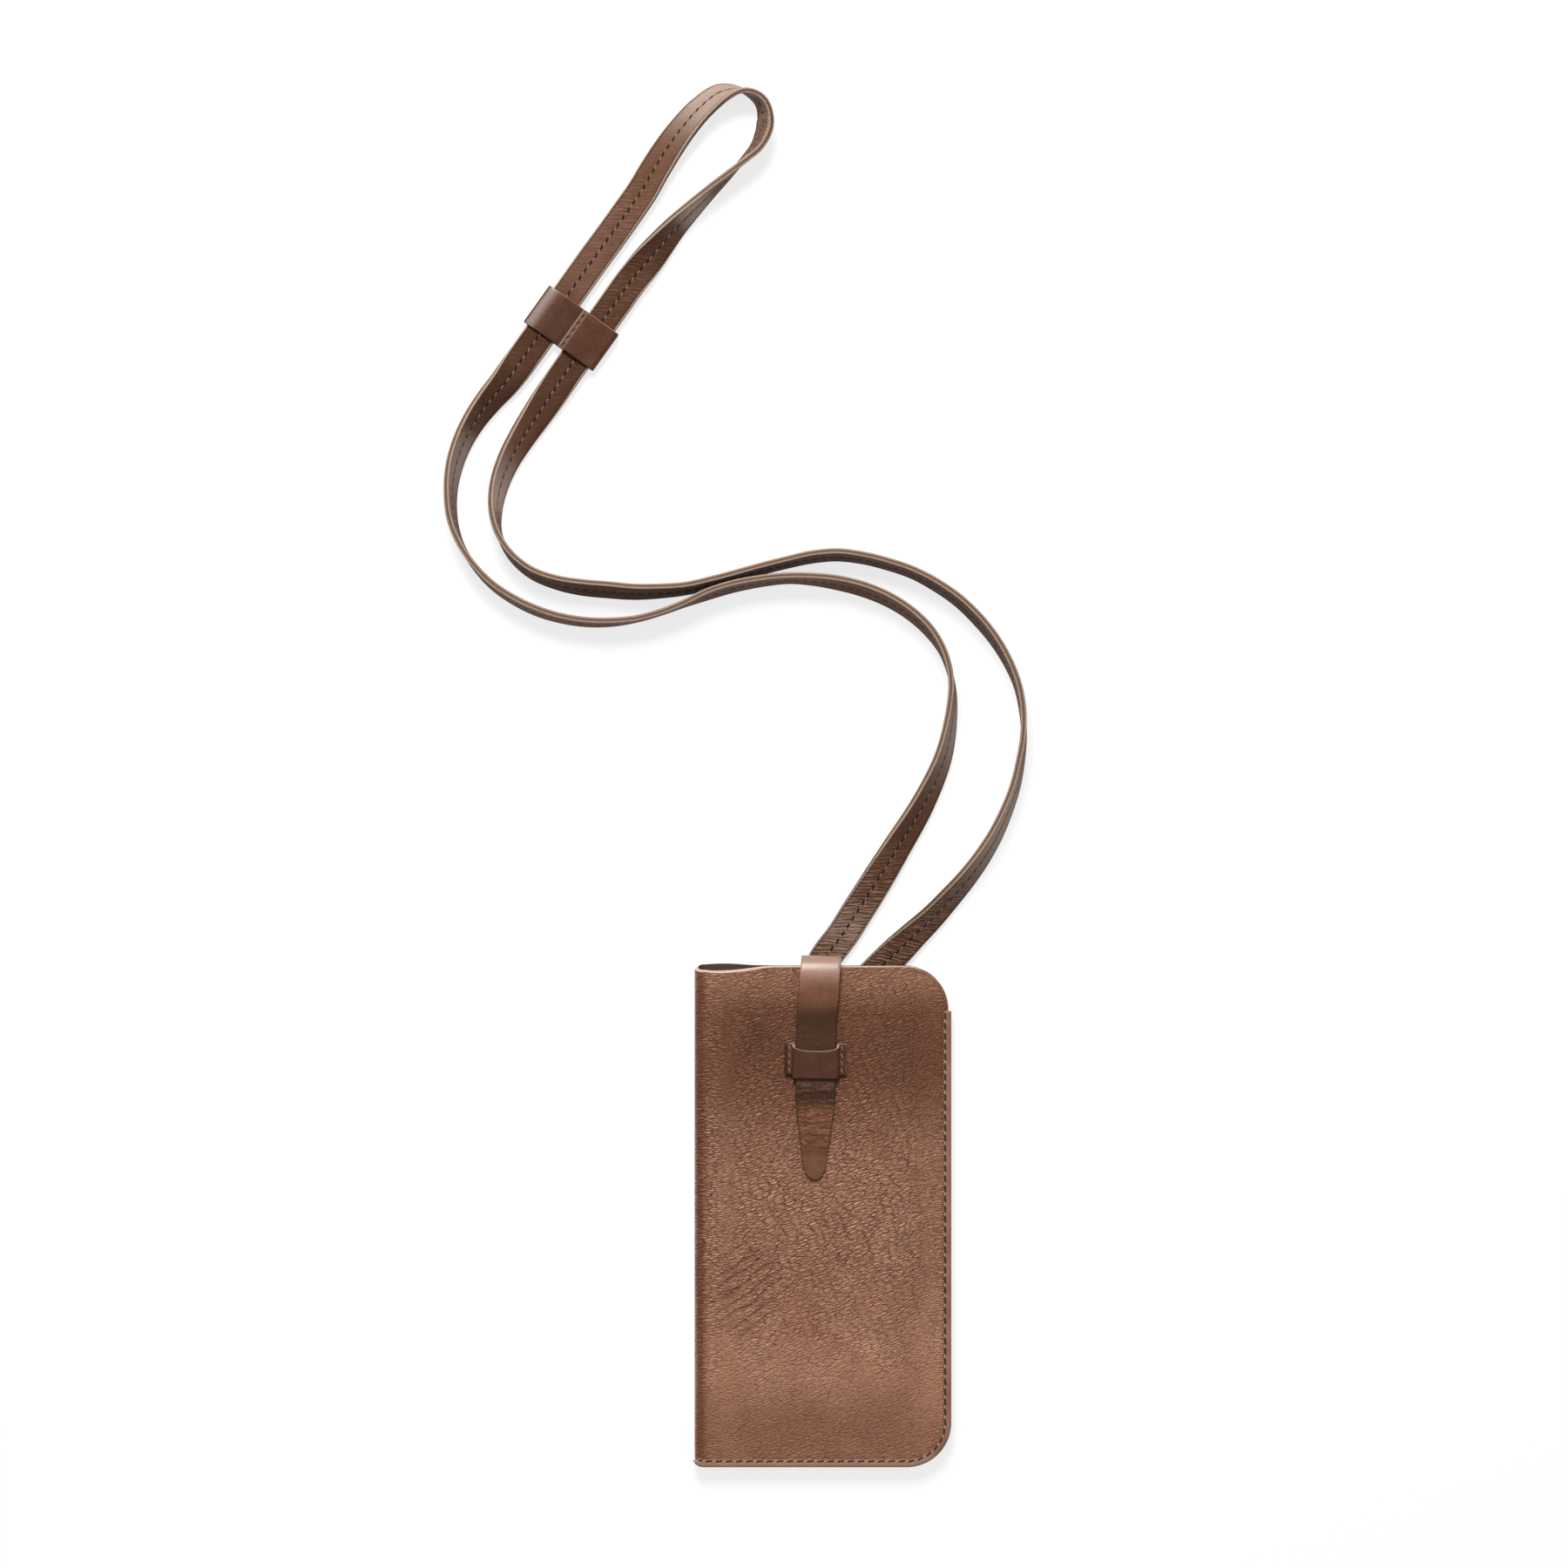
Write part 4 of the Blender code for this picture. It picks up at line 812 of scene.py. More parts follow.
def stitch_tree():
    """Geometry tree that lays one short thread on each point of a sewn line."""
    tree = bpy.data.node_groups.new("stitch row", "GeometryNodeTree")
    for key, kind, value in (
            ("Geometry", "Geometry", None), ("Length", "Float", 0.0019),
            ("Thickness", "Float", THREAD_T), ("Crown", "Float", 0.0002),
            ("Slant", "Float", 0.15), ("Spread", "Float", 0.06), ("Seed", "Int", 3),
            ("Thread", "Material", None)):
        socket = tree.interface.new_socket(key, in_out="INPUT", socket_type="NodeSocket" + kind)
        if value is not None:
            socket.default_value = value
    tree.interface.new_socket("Geometry", in_out="OUTPUT", socket_type="NodeSocketGeometry")
    n = Nodes(tree)
    given = n.add("NodeGroupInput").outputs
    half, low = n.times(given["Length"], 0.5), n.times(given["Thickness"], -0.7)
    line = n.add("GeometryNodeCurveQuadraticBezier", {
        "Resolution": 5, "Start": n.joined(n.times(half, -1.0), 0.0, low),
        "Middle": n.joined(z=n.times(given["Crown"], 2.0)), "End": n.joined(half, 0.0, low)})
    round_ = n.add("GeometryNodeCurvePrimitiveCircle", {
        "Resolution": 6, "Radius": n.times(given["Thickness"], 0.5)})
    thread = n.add("GeometryNodeCurveToMesh", {
        "Curve": line.outputs["Curve"], "Profile Curve": round_.outputs["Curve"],
        "Fill Caps": True})
    facing, heading = (
        n.add("GeometryNodeInputNamedAttribute", {"Name": key},
              data_type="FLOAT_VECTOR").outputs["Attribute"] for key in ("facing", "heading"))
    turn = n.add("FunctionNodeAxesToRotation", {
        "Primary Axis": facing, "Secondary Axis": heading},
        primary_axis="Z", secondary_axis="X")
    loose = n.add("FunctionNodeRandomValue", {
        "Seed": given["Seed"], 2: n.less(given["Slant"], given["Spread"]),
        3: n.plus(given["Slant"], given["Spread"])}, data_type="FLOAT")
    slant = n.add("FunctionNodeAxisAngleToRotation", {"Axis": (0.0, 0.0, 1.0),
                                                      "Angle": loose.outputs[1]})
    laid = n.add("FunctionNodeRotateRotation", {
        "Rotation": turn.outputs[0], "Rotate By": slant.outputs[0]}, rotation_space="LOCAL")
    placed = n.add("GeometryNodeInstanceOnPoints", {
        "Points": given["Geometry"], "Instance": thread.outputs["Mesh"],
        "Rotation": laid.outputs[0]})
    real = n.add("GeometryNodeRealizeInstances", {"Geometry": placed.outputs["Instances"]})
    painted = n.add("GeometryNodeSetMaterial", {"Geometry": real.outputs["Geometry"],
                                                "Material": given["Thread"]})
    n.add("NodeGroupOutput", {"Geometry": painted.outputs["Geometry"]})
    return tree


def stitches(name, points, headings, facings, thread, seed, **sizes):
    """One object with a stitch at each point, as a plain mesh.

    A single heading or facing goes for all the stitches.
    """
    ob = solid(name, points, [], [])
    for key, values in (("heading", headings), ("facing", facings)):
        values = np.broadcast_to(values, (len(points), 3))
        mark(ob.data, key, values, "FLOAT_VECTOR", "vector")
    rows = ob.modifiers.new("stitches", "NODES")
    rows.node_group = STITCHES
    values = {"Thread": thread, "Seed": seed, **sizes}
    for item in STITCHES.interface.items_tree:
        if item.in_out == "INPUT" and item.name in values:
            rows[item.identifier] = values[item.name]
    graph = bpy.context.evaluated_depsgraph_get()
    done = bpy.data.meshes.new_from_object(ob.evaluated_get(graph), depsgraph=graph)
    ob.modifiers.clear()
    ob.data = done
    done.name = name
    done.polygons.foreach_set("use_smooth", np.ones(len(done.polygons), bool))
    return ob


# Strap


def slider_levels():
    """Half pitch of the passages, half their width, and their low and high levels."""
    passage = STRAP_W + 2.0 * SLIDER_PLAY
    return ((passage + SLIDER_WEB) / 2.0, passage / 2.0, SLIDER_T,
            SLIDER_T + STRAP_T + 2.0 * GAP)


def slider_frame():
    """Middle of the slider, the strap's direction and the way across."""
    a = math.radians(SLIDER_ANGLE)
    return np.array([(SLIDER_FROM_MOUTH[0], MOUTH_Y + SLIDER_FROM_MOUTH[1], 0.0),
                     (math.cos(a), math.sin(a), 0.0), (math.sin(a), -math.cos(a), 0.0)])


def leg_points(side):
    """Straight, flat run of one leg through the slider and its travel."""
    pitch = slider_levels()[0]
    middle, along, across = slider_frame()
    up = SLIDER_LEN / 2.0 + SLIDER_UP + SLIDER_LEAD
    down = SLIDER_LEN / 2.0 + SLIDER_DOWN + SLIDER_LEAD
    return [(*(middle + side * pitch * across + d * along)[:2], 0.0, SLIDER_T + GAP)
            for d in (-down, -down * 0.5, 0.0, up * 0.33, up * 0.66, up)]


def strap_route():
    """Route points of the whole strap as x, y, lean and lift."""
    raised = (SLIDER_T + GAP) * 0.35

    def place(points, first, last):
        lifts = [first, *[0.0] * (len(points) - 2), last]
        return [(x, MOUTH_Y + y, lean, lift) for (x, y, lean), lift in zip(points, lifts)]

    return (place(LEFT_LEG, 0.0, raised) + leg_points(-1.0) + place(TOP_LOOP, raised, raised)
            + leg_points(1.0)[::-1] + place(RIGHT_LEG, raised, 0.0))


def tame(slope, before, after):
    """Slope that keeps a lean from swinging past the leans beside it."""
    if before * after <= 0.0:
        return 0.0
    most = 3.0 * min(abs(before), abs(after))
    return max(-most, min(most, slope))


def smooth_route(points, step):
    """Even samples of a smooth curve through the points."""
    p = np.array(points, float)
    p = np.vstack([2.0 * p[0] - p[1], p, 2.0 * p[-1] - p[-2]])
    fine = []
    for p0, p1, p2, p3 in zip(p, p[1:], p[2:], p[3:]):
        d1, d2, d3 = (np.linalg.norm(v[:2]) ** 0.5 for v in (p1 - p0, p2 - p1, p3 - p2))
        m1 = d2 * ((p1 - p0) / d1 - (p2 - p0) / (d1 + d2)) + (p2 - p1)
        m2 = d2 * ((p3 - p2) / d3 - (p3 - p1) / (d2 + d3)) + (p2 - p1)
        for k in (2, 3):
            m1[k] = tame(m1[k], (p1[k] - p0[k]) * d2 / d1, p2[k] - p1[k])
            m2[k] = tame(m2[k], p2[k] - p1[k], (p3[k] - p2[k]) * d2 / d3)
        for t in np.linspace(0.0, 1.0, 16, endpoint=False):
            fine.append((2 * t ** 3 - 3 * t ** 2 + 1) * p1 + (t ** 3 - 2 * t ** 2 + t) * m1
                        + (3 * t ** 2 - 2 * t ** 3) * p2 + (t ** 3 - t ** 2) * m2)
    fine = np.array([*fine, p[-2]])
    run = distances(fine[:, :2])
    at = np.linspace(0.0, run[-1], int(round(run[-1] / step)) + 1)
    return resample(at, run, fine), at


def strap_line():
    """Centre, way across and facing of the strap at even steps, and its run."""
    even, run = smooth_route(strap_route(), STRAP_RING_STEP)
    x, y, lean, lift = even.T
    sin, cos = np.sin(np.radians(lean)), np.cos(np.radians(lean))
    z = np.abs(sin) * STRAP_W / 2.0 + np.abs(cos) * STRAP_T / 2.0 + lift
    centre = np.stack([x, y, z], axis=1)
    ahead = unit(np.gradient(centre[:, :2], axis=0))
    left = np.stack([-ahead[:, 1], ahead[:, 0], np.zeros(len(z))], axis=1)
    sin, cos = sin[:, None], cos[:, None]
    return (centre, cos * left + sin * UP, cos * UP - sin * left), run


def from_spot(centre, x, y):
    """Distance on the table from a spot that is given from the middle of the mouth."""
    return np.hypot(centre[:, 0] - x, centre[:, 1] - MOUTH_Y - y)


def strap_creases(centre, run, lap_at):
    """How creased the strap is along its run."""
    left = 1.0 - ease((run - 0.030) / 0.040)
    right = 1.0 - ease((run[-1] - run - 0.048) / 0.034)
    loop_in = 0.32 * bell(from_spot(centre, -0.0735, 0.2664) / 0.017)
    loop_out = 0.24 * bell(from_spot(centre, -0.0690, 0.2390) / 0.010)
    lap = 0.75 * bell((run - lap_at) / 0.014)
    return np.clip(0.10 + reduce(np.maximum, (left, right, loop_in, loop_out, lap)), 0, 1)


def strap_shading(centre, face):
    """Painted shade on the strap by the slider and in its crossing, and painted light where it
    shines.
    """
    middle, along, across = slider_frame()
    run, side = (centre - middle) @ along, (centre - middle) @ across
    near = np.abs(np.abs(side) - slider_levels()[0]) < 0.010
    # Painted shade on the right leg by the slider and the left leg below it, and painted light
    # on the left leg above it
    right = 0.55 * ease((0.060 - run) / 0.020) * ease((run + 0.050) / 0.020) * (side > 0.0)
    left = 0.62 * ease((0.006 - run) / 0.012) * ease((run + 0.060) / 0.020) * (side < 0.0)
    light = 0.13 * ease((run - 0.006) / 0.010) * ease((0.060 - run) / 0.020) * (side < 0.0)
    # Painted shadow where the legs cross, a painted highlight on the top loop, painted light by
    # the mouth, and painted sheen where a face stands at a steep lean
    crossing = 0.50 * bell(from_spot(centre, -0.0352, 0.1355) / 0.012)
    shine = 0.85 * bell(from_spot(centre, -0.0385, 0.3080) / 0.0185)
    mouth = 0.46 * bell(from_spot(centre, 0.0085, 0.0120) / 0.013)
    tilt = face[:, 2] - 0.34
    lean_sheen = 0.85 * bell(tilt / np.where(tilt < 0.0, 0.18, 0.24))
    return (right + left - light) * near + crossing - reduce(np.maximum, (shine, mouth, lean_sheen))


def strap_lift(run, flat, side, lap_at):
    """Lift of the strap's faces: rolled edges, a groove, and a sewn hollow."""
    off = np.abs(flat)
    on_face = np.sign(side) * (np.abs(side) > 0.99)
    hollow = 0.00020 * bell(flat / 0.0022) + 0.00014 * bell(flat / 0.0005)
    groove = 0.00016 * bell((off - GROOVE_AT) / 0.00016)
    body = 0.00006 * (off < GROOVE_AT)
    lapped = ease((run - lap_at) / 0.0005) - ease((run - lap_at - LAP_LEN) / 0.0005)
    return -on_face * (hollow + groove + body) + (side < -0.99) * -0.00035 * lapped


def strap_strip(leather, lines, run, lap_at):
    """The whole strap as one strip with many points across each face."""
    shares = [1.0, 0.975, 0.945, 0.925, 0.905, 0.88, 0.78, 0.6, 0.4, 0.22, 0.10, 0.045, 0.0]
    shares += [-s for s in reversed(shares[:-1])]
    top = np.array([(s, 0.0, STRAP_T / 2.0, 1.0) for s in shares])
    left = section(STRAP_T, STRAP_EDGE_R, 2)[3:11]
    round_ = np.vstack([top, left, top * (-1.0, 1.0, -1.0, -1.0), -left])
    share, offset, height, side = round_.T
    flat = (STRAP_W / 2.0 - STRAP_EDGE_R) * share + offset
    flat = np.broadcast_to(flat, (len(run), len(share)))
    lift = height + strap_lift(run[:, None], flat, side, lap_at)
    return sweep("neck_strap", lines, flat, lift, side, leather, along=run,
                 creased=strap_creases(lines[0], run, lap_at),
                 shaded=strap_shading(lines[0], lines[2]))


def strap_stitches(thread, lines, run):
    """A stitch row down the middle of each face of the strap."""
    at = np.arange(STRAP_PITCH, run[-1] - STRAP_PITCH * 0.5, STRAP_PITCH)
    middle, out = resample(at, run, lines[0]), unit(resample(at, run, lines[2]))
    heading = unit(np.gradient(middle, axis=0))
    return [stitches(name, middle + out * side * (STRAP_T / 2.0 - 0.00030), heading,
                     out * side, thread, seed, Length=0.0016, Thickness=0.00030,
                     Crown=0.00016, Slant=0.24 * side, Spread=0.09)
            for side, name, seed in ((1.0, "strap_stitches_outer", 5),
                                     (-1.0, "strap_stitches_inner", 9))]


def neck_strap(leather, thread):
    """The strap, its stitch rows, its middle line and its length."""
    lines, run = strap_line()
    lap = run[np.argmin(from_spot(lines[0], *TOP_LOOP[10][:2]))]
    strap = strap_strip(leather, lines, run, float(lap) - LAP_LEN / 2.0)
    rows = strap_stitches(thread, lines, run)
    for piece in [strap, *rows]:
        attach(piece, "case")
    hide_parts("strap_left", "strap_right")
    return strap, rows, lines[0], float(distances(lines[0])[-1])


def slider_path():
    """Line of the slider's band in its own plane, from lap end to hidden end."""
    pitch, half, low, high = slider_levels()
    reach = pitch + half + SLIDER_END_T - SLIDER_T / 2.0
    base, top = low - SLIDER_T / 2.0, high + SLIDER_T / 2.0
    lap = top + SLIDER_T
    dip = SLIDER_STITCH_AT
    points = [(0.0, lap), (dip - 0.0006, lap - 0.0001), (dip, lap - 0.00040),
              (dip + 0.0006, lap - 0.0001), (dip + 0.0018, lap),
              (SLIDER_LAP - 0.0010, lap - 0.00008), (SLIDER_LAP + 0.0018, lap - 0.00038),
              (SLIDER_LAP + 0.0052, top + 0.00022)]
    turn = [math.radians(18.0 * k) for k in range(6)]
    for side, r in ((1.0, 0.0009), (-1.0, 0.0017)):
        over = [(side * (reach - r + r * math.sin(a)), top - r + r * math.cos(a)) for a in turn]
        under = [(side * (reach - r + r * math.cos(a)), base + r - r * math.sin(a))
                 for a in turn]
        points += over + under if side > 0.0 else (over + under)[::-1]
    return points + [(-0.0050, top), (-0.0022, top - 0.00002), (-0.0006, top - 0.00012),
                     (0.0006, top - 0.00018), (dip, top - 0.00040),
                     (dip + 0.0010, top - 0.0001), (SLIDER_LAP - 0.0008, top - 0.00002)]


def fine_line(points, step):
    """Even samples of a smooth flat line through the points, with its normals."""
    even, run = smooth_route([(x, z, 0.0, 0.0) for x, z in points], step)
    line = even[:, :2]
    ahead = unit(np.gradient(line, axis=0))
    return line, np.stack([-ahead[:, 1], ahead[:, 0]], axis=1), run


def stood_up(line, ahead, origin=0.0):
    """Points of a flat line in the upright plane through an origin."""
    return origin + ahead * line[:, :1] + UP * line[:, 1:]


def slider_band(leather, thread):
    """Folded band round both legs of the strap, lapped and sewn between them."""
    line, normal, run = fine_line(slider_path(), 0.0004)
    pitch, half, low, high = slider_levels()
    middle, along, across = slider_frame()
    x = line[:, 0]
    # Painted highlight at the band's left end, and painted shade over the rest of its upper
    # face left of the cut
    polished = bell((x + pitch + half - 0.0006) / 0.0024)
    polished = polished - 0.50 * ease((x + pitch + half - 0.0035) / 0.0040) * (x < SLIDER_CUT)
    polished = np.where((x < SLIDER_CUT) & (line[:, 1] < high), 0.0, polished)

    def crown(run, flat, side):
        return np.where(side > 0.3, -0.80 * SLIDER_T * (1.0 - ease(run / SLIDER_CUT)), 0.0)

    lines = (stood_up(line, across, middle), along, stood_up(normal, across))
    band = strip("slider_band", lines, SLIDER_LEN / 2.0, SLIDER_T, BAND_EDGE_R, 10, leather,
                 crown, creased=np.zeros(len(x)), polished=polished)
    paint_rim(band, run[-1], SLIDER_CUT)
    wide, long = SLIDER_WEB / 2.0 - 0.0004, SLIDER_LEN / 2.0 - 0.0006
    corners = [middle + across * a + along * b + UP * c for c in (low + 0.00002, high - 0.0003)
               for b in (-long, long) for a in (-wide, wide)]
    web = solid("slider_web", corners, [(0, 2, 3, 1), (4, 5, 7, 6), (0, 1, 5, 4),
                                        (2, 6, 7, 3), (0, 4, 6, 2), (1, 3, 7, 5)],
                [leather], outward=True)
    at = np.linspace(-SLIDER_LEN / 2.0 + 0.0019, SLIDER_LEN / 2.0 - 0.0019, 5)
    points = (middle + across * (SLIDER_STITCH_AT + 0.0003) + along * at[:, None]
              + UP * (high + SLIDER_T * 2.0 - 0.00028))
    row = stitches("slider_stitches", points, along, UP, thread, 4, Length=0.0026,
                   Thickness=0.00062, Crown=0.00026, Slant=-0.45, Spread=0.10)
    for piece in (band, web, row):
        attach(piece, "slider")
    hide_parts("strap_slider")
    return [band, web, row]


def paint_rim(ob, length, cut=0.0):
    """Marks the edges of a strip: 1 where a cut edge is pale, -1 where it gets a painted shade.

    The pale edges are the one on the positive side and the first end. An end with
    a slanted cut is also dark along its stitches.
    """
    mesh = ob.data
    along, across, side = np.empty((3, len(mesh.vertices)), np.float32)
    for key, values in (("along", along), ("across", across), ("side", side)):
        mesh.attributes[key].data.foreach_get("value", values)
    rim = np.where(np.abs(side) < 0.9, np.sign(across), 0.0)
    rim = np.where(along > length - 1e-6, -1.0, rim)
    rim = np.where(along < 1e-6 + cut * 0.55, 1.0, rim)
    if cut > 0.0:
        rim = np.where(np.abs(along - SLIDER_STITCH_AT - 0.0004) < 0.0009, 0.34, rim)
    mark(mesh, "rim", rim)


# Case


def stack_level(x):
    """Height of the back panel's outer face along the mouth."""
    knots = [
        (FOLD_X, FOLD_LOW), (FOLD_X + 0.018, FOLD_LOW + 0.0002),
        (STACK_LEFT, STACK_Z), (STACK_RIGHT, STACK_Z),
        (mix(STACK_RIGHT, SIDE_X, 0.72), max(STRAP_T + GAP, SEAM_Z - SEAM_HALF)),
        (SIDE_X, SEAM_Z - SEAM_HALF),
    ]
    z = np.full(np.shape(x), knots[-1][1])
    for (xa, za), (xb, zb) in reversed(list(zip(knots, knots[1:]))):
        z = np.where(x <= xb, mix(za, zb, ease((x - xa) / (xb - xa))), z)
    return z


def sewn(x, y):
    """0 along the sewn side and bottom, 1 clear of them."""
    side = ease((SIDE_X - x - SEW_MARGIN) / SIDE_RAMP)
    return side * ease((y - BOTTOM_Y - SEW_MARGIN) / BOTTOM_RAMP)


def soft_front(x, y):
    """Gentle hollows and swellings of the front panel."""
    pull = 0.00045 * bell((x + 0.003) / 0.020) * bell((y - MOUTH_Y + 0.036) / 0.015)
    left = 0.00055 * bell((x + 0.024) / 0.009) * bell((y - MOUTH_Y + 0.030) / 0.020)
    swell = 0.00050 * bell((x - 0.002) / 0.030) * bell((y + 0.020) / 0.035)
    ripple = 0.00010 * np.sin(x * 210.0 + y * 95.0) * np.sin(y * 130.0 - x * 60.0 + 1.0)
    return (swell - pull - left + ripple) * ease((x - FOLD_X - 0.004) / 0.012)


def front_top(x, y):
    """Height of the front panel's outer face."""
    crown = mix(MOUTH_DEPTH, CASE_DEPTH, ease((MOUTH_Y - y) / MOUTH_RAMP))
    crown = crown + soft_front(x, y)
    free = mix(FOLD_TOP, crown, ease((x - FOLD_X - FOLD_DEPTH / 2.0) / FOLD_RAMP))
    return mix(SEAM_Z + SEAM_HALF, free, sewn(x, y))


def back_low(x, y):
    """Height of the back panel's outer face."""
    free = mix(FOLD_LOW, 0.0, ease((x - FOLD_X - FOLD_DEPTH / 2.0) / FOLD_RAMP))
    base = mix(SEAM_Z - SEAM_HALF, free, sewn(x, y))
    return mix(base, stack_level(x), ease((y - STACK_LOW_Y + STACK_RAMP) / STACK_RAMP))


def front_dip(x):
    """How far the front panel's mouth edge sags below the back one."""
    run = x - FOLD_X - MOUTH_DIP_AT
    near = MOUTH_DIP * (1.0 - 0.3 * ease(-run / MOUTH_DIP_AT))
    return np.where(run < 0.0, near, MOUTH_DIP * (1.0 - ease(run / MOUTH_DIP_RUN)))


def back_dip(x):
    return 0.2 * MOUTH_DIP * (1.0 - ease((x - FOLD_X) / 0.010))


def slope(surface, x, y):
    d = 0.00002
    return ((surface(x + d, y) - surface(x - d, y)) / (2.0 * d),
            (surface(x, y + d) - surface(x, y - d)) / (2.0 * d))


def shell_rows():
    """Height and right edge of each row, from the bottom to the mouth."""
    turn = [math.radians(90.0 * i / CORNER_STEPS) for i in range(CORNER_STEPS + 1)]
    r = BOTTOM_CORNER_R
    rows = [(BOTTOM_Y + r * (1.0 - math.cos(a)), SIDE_X - r * (1.0 - math.sin(a)))
            for a in turn]
    low, top = rows[-1][0], MOUTH_Y - MOUTH_CORNER_R
    rows += [(mix(low, top, i / SIDE_STEPS), SIDE_X) for i in range(1, SIDE_STEPS)]
    r = MOUTH_CORNER_R
    return rows + [(top + r * math.sin(a), SIDE_X - r * (1.0 - math.cos(a))) for a in turn]


def fold_edge(y):
    """Left edge of the sheet, rounded at its bottom corner."""
    drop = max(0.0, FOLD_CORNER_R - (y - BOTTOM_Y))
    return FOLD_X + FOLD_CORNER_R - math.sqrt(max(0.0, FOLD_CORNER_R ** 2 - drop ** 2))


def shell_grid():
    """Middle surface of the folded sheet and its normals, row by row."""
    half = SHEET_T / 2.0
    t = np.arange(1, FOLD_STEPS) / FOLD_STEPS
    a, t = np.radians(-90.0 + 180.0 * t), ease(t)
    mids, normals = [], []

    def panel(start, end, steps, y, weight, surface, dip, way):
        """One panel of a row; the way is 1 for the front and -1 for the back."""
        xs = mix(start, end, np.linspace(0.0, 1.0, steps + 1))
        sx, sy = slope(surface, xs, y)
        mids = [xs, y - weight * dip(xs), surface(xs, y) - way * half]
        facing = [-way * sx, -way * sy, way * np.ones_like(xs)]
        return np.stack(mids, axis=1), unit(np.stack(facing, axis=1))

    for y, side in shell_rows():
        weight = ease((y - MOUTH_Y + 0.035) / 0.035)
        edge = fold_edge(y)
        probe = edge + FOLD_DEPTH / 2.0
        radius = (front_top(probe, y) - back_low(probe, y)) / 2.0 - half
        start = edge + half + radius
        low, low_n = panel(side, start, BACK_STEPS, y, weight, back_low, back_dip, -1.0)
        top, top_n = panel(start, side, FRONT_STEPS, y, weight, front_top, front_dip, 1.0)
        zt, zb = front_top(start, y) - half, low[-1, 2]
        bend = np.stack([start - radius * np.cos(a),
                         y - weight * mix(back_dip(start), front_dip(start), t),
                         (zt + zb) / 2.0 + (zt - zb) / 2.0 * np.sin(a)], axis=1)
        tip = mix(low_n[-1, 1], top_n[0, 1], t) * np.abs(np.sin(a))
        mids.append(np.vstack([low, bend, top]))
        normals.append(np.vstack([low_n, unit(np.stack([-np.cos(a), tip, np.sin(a)], axis=1)),
                                  top_n]))
    return np.array(mids), np.array(normals)


def case_leather(panel, flesh, edge):
    """Folded sheet with a rounded raw rim all round."""
    mids, normals = shell_grid()
    half = SHEET_T / 2.0
    rows, cols = mids.shape[:2]
    border = ([(0, k) for k in range(cols)] + [(i, cols - 1) for i in range(1, rows)]
              + [(rows - 1, k) for k in range(cols - 2, -1, -1)]
              + [(i, 0) for i in range(rows - 2, 0, -1)])
    away = {}
    for i, k in border:
        inner = [place for on_edge, place in ((i == 0, (1, k)), (i == rows - 1, (-2, k)),
                                              (k == 0, (i, 1)), (k == cols - 1, (i, -2)))
                 if on_edge]
        away[i, k] = unit(sum(unit(mids[i, k] - mids[place]) for place in inner))
    for place, v in away.items():
        mids[place] -= v * RIM_PULL
    outer, inner = mids + normals * half, mids - normals * half
    cut = mix(MOUTH_CUT, MOUTH_CUT_FAR, ease((mids[:, :, 0] - FOLD_X - 0.016) / 0.014))
    cut = cut * ease((mids[:, :, 1] - mids[-1, :, 1] + 0.0024) / 0.0024)
    inside = mix(0.65, 0.0, ease((mids[:, :, 0] - FOLD_X - 0.010) / 0.014))
    outer[:, :, 1] -= cut * (1.0 - inside)
    inner[:, :, 1] += cut * inside
    steps = np.linalg.norm(np.diff(mids, axis=1), axis=2)
    sheet = np.concatenate([np.zeros((rows, 1)), np.cumsum(steps, axis=1)], axis=1)
    front = cols - FRONT_STEPS - 1
    sheet = sheet - sheet[:, front:front + 1] + mids[:, front:front + 1, 0]
    shift = rows * cols
    faces, kinds = [], []
    for i in range(rows - 1):
        for k in range(cols - 1):
            a = i * cols + k
            quad = (a, a + cols, a + cols + 1, a + 1)
            faces += [quad, tuple(shift + q for q in reversed(quad))]
            kinds += [0, 1]
    verts, across, rings = [outer.reshape(-1, 3), inner.reshape(-1, 3)], [sheet, sheet], []
    turns = [math.radians(a) for a in (30.0, 60.0, 90.0, 120.0, 150.0)]
    count = len(turns)
    for j, (i, k) in enumerate(border):
        for a in turns:
            point = (mids[i, k] + normals[i, k] * half * math.cos(a)
                     + away[i, k] * RIM_PULL * math.sin(a))
            point[1] -= cut[i, k] * (0.5 + 0.5 * math.cos(a) - inside[i, k])
            verts.append(point[None, :])
        across.append(np.full(count, sheet[i, k]))
        first = 2 * shift + j * count
        a = i * cols + k
        rings.append([a, *range(first, first + count), shift + a])
    for one, two in zip(rings, rings[1:] + rings[:1]):
        for q in range(count + 1):
            faces.append((one[q], two[q], two[q + 1], one[q + 1]))
            kinds.append(2)
    across = np.concatenate([np.ravel(values) for values in across])
    case = solid("case_leather", np.concatenate(verts), faces, [panel, flesh, edge],
                 face_material=kinds, attributes={"sheet": across}, outward=True)
    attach(case, "case")
    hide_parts("case_shell")


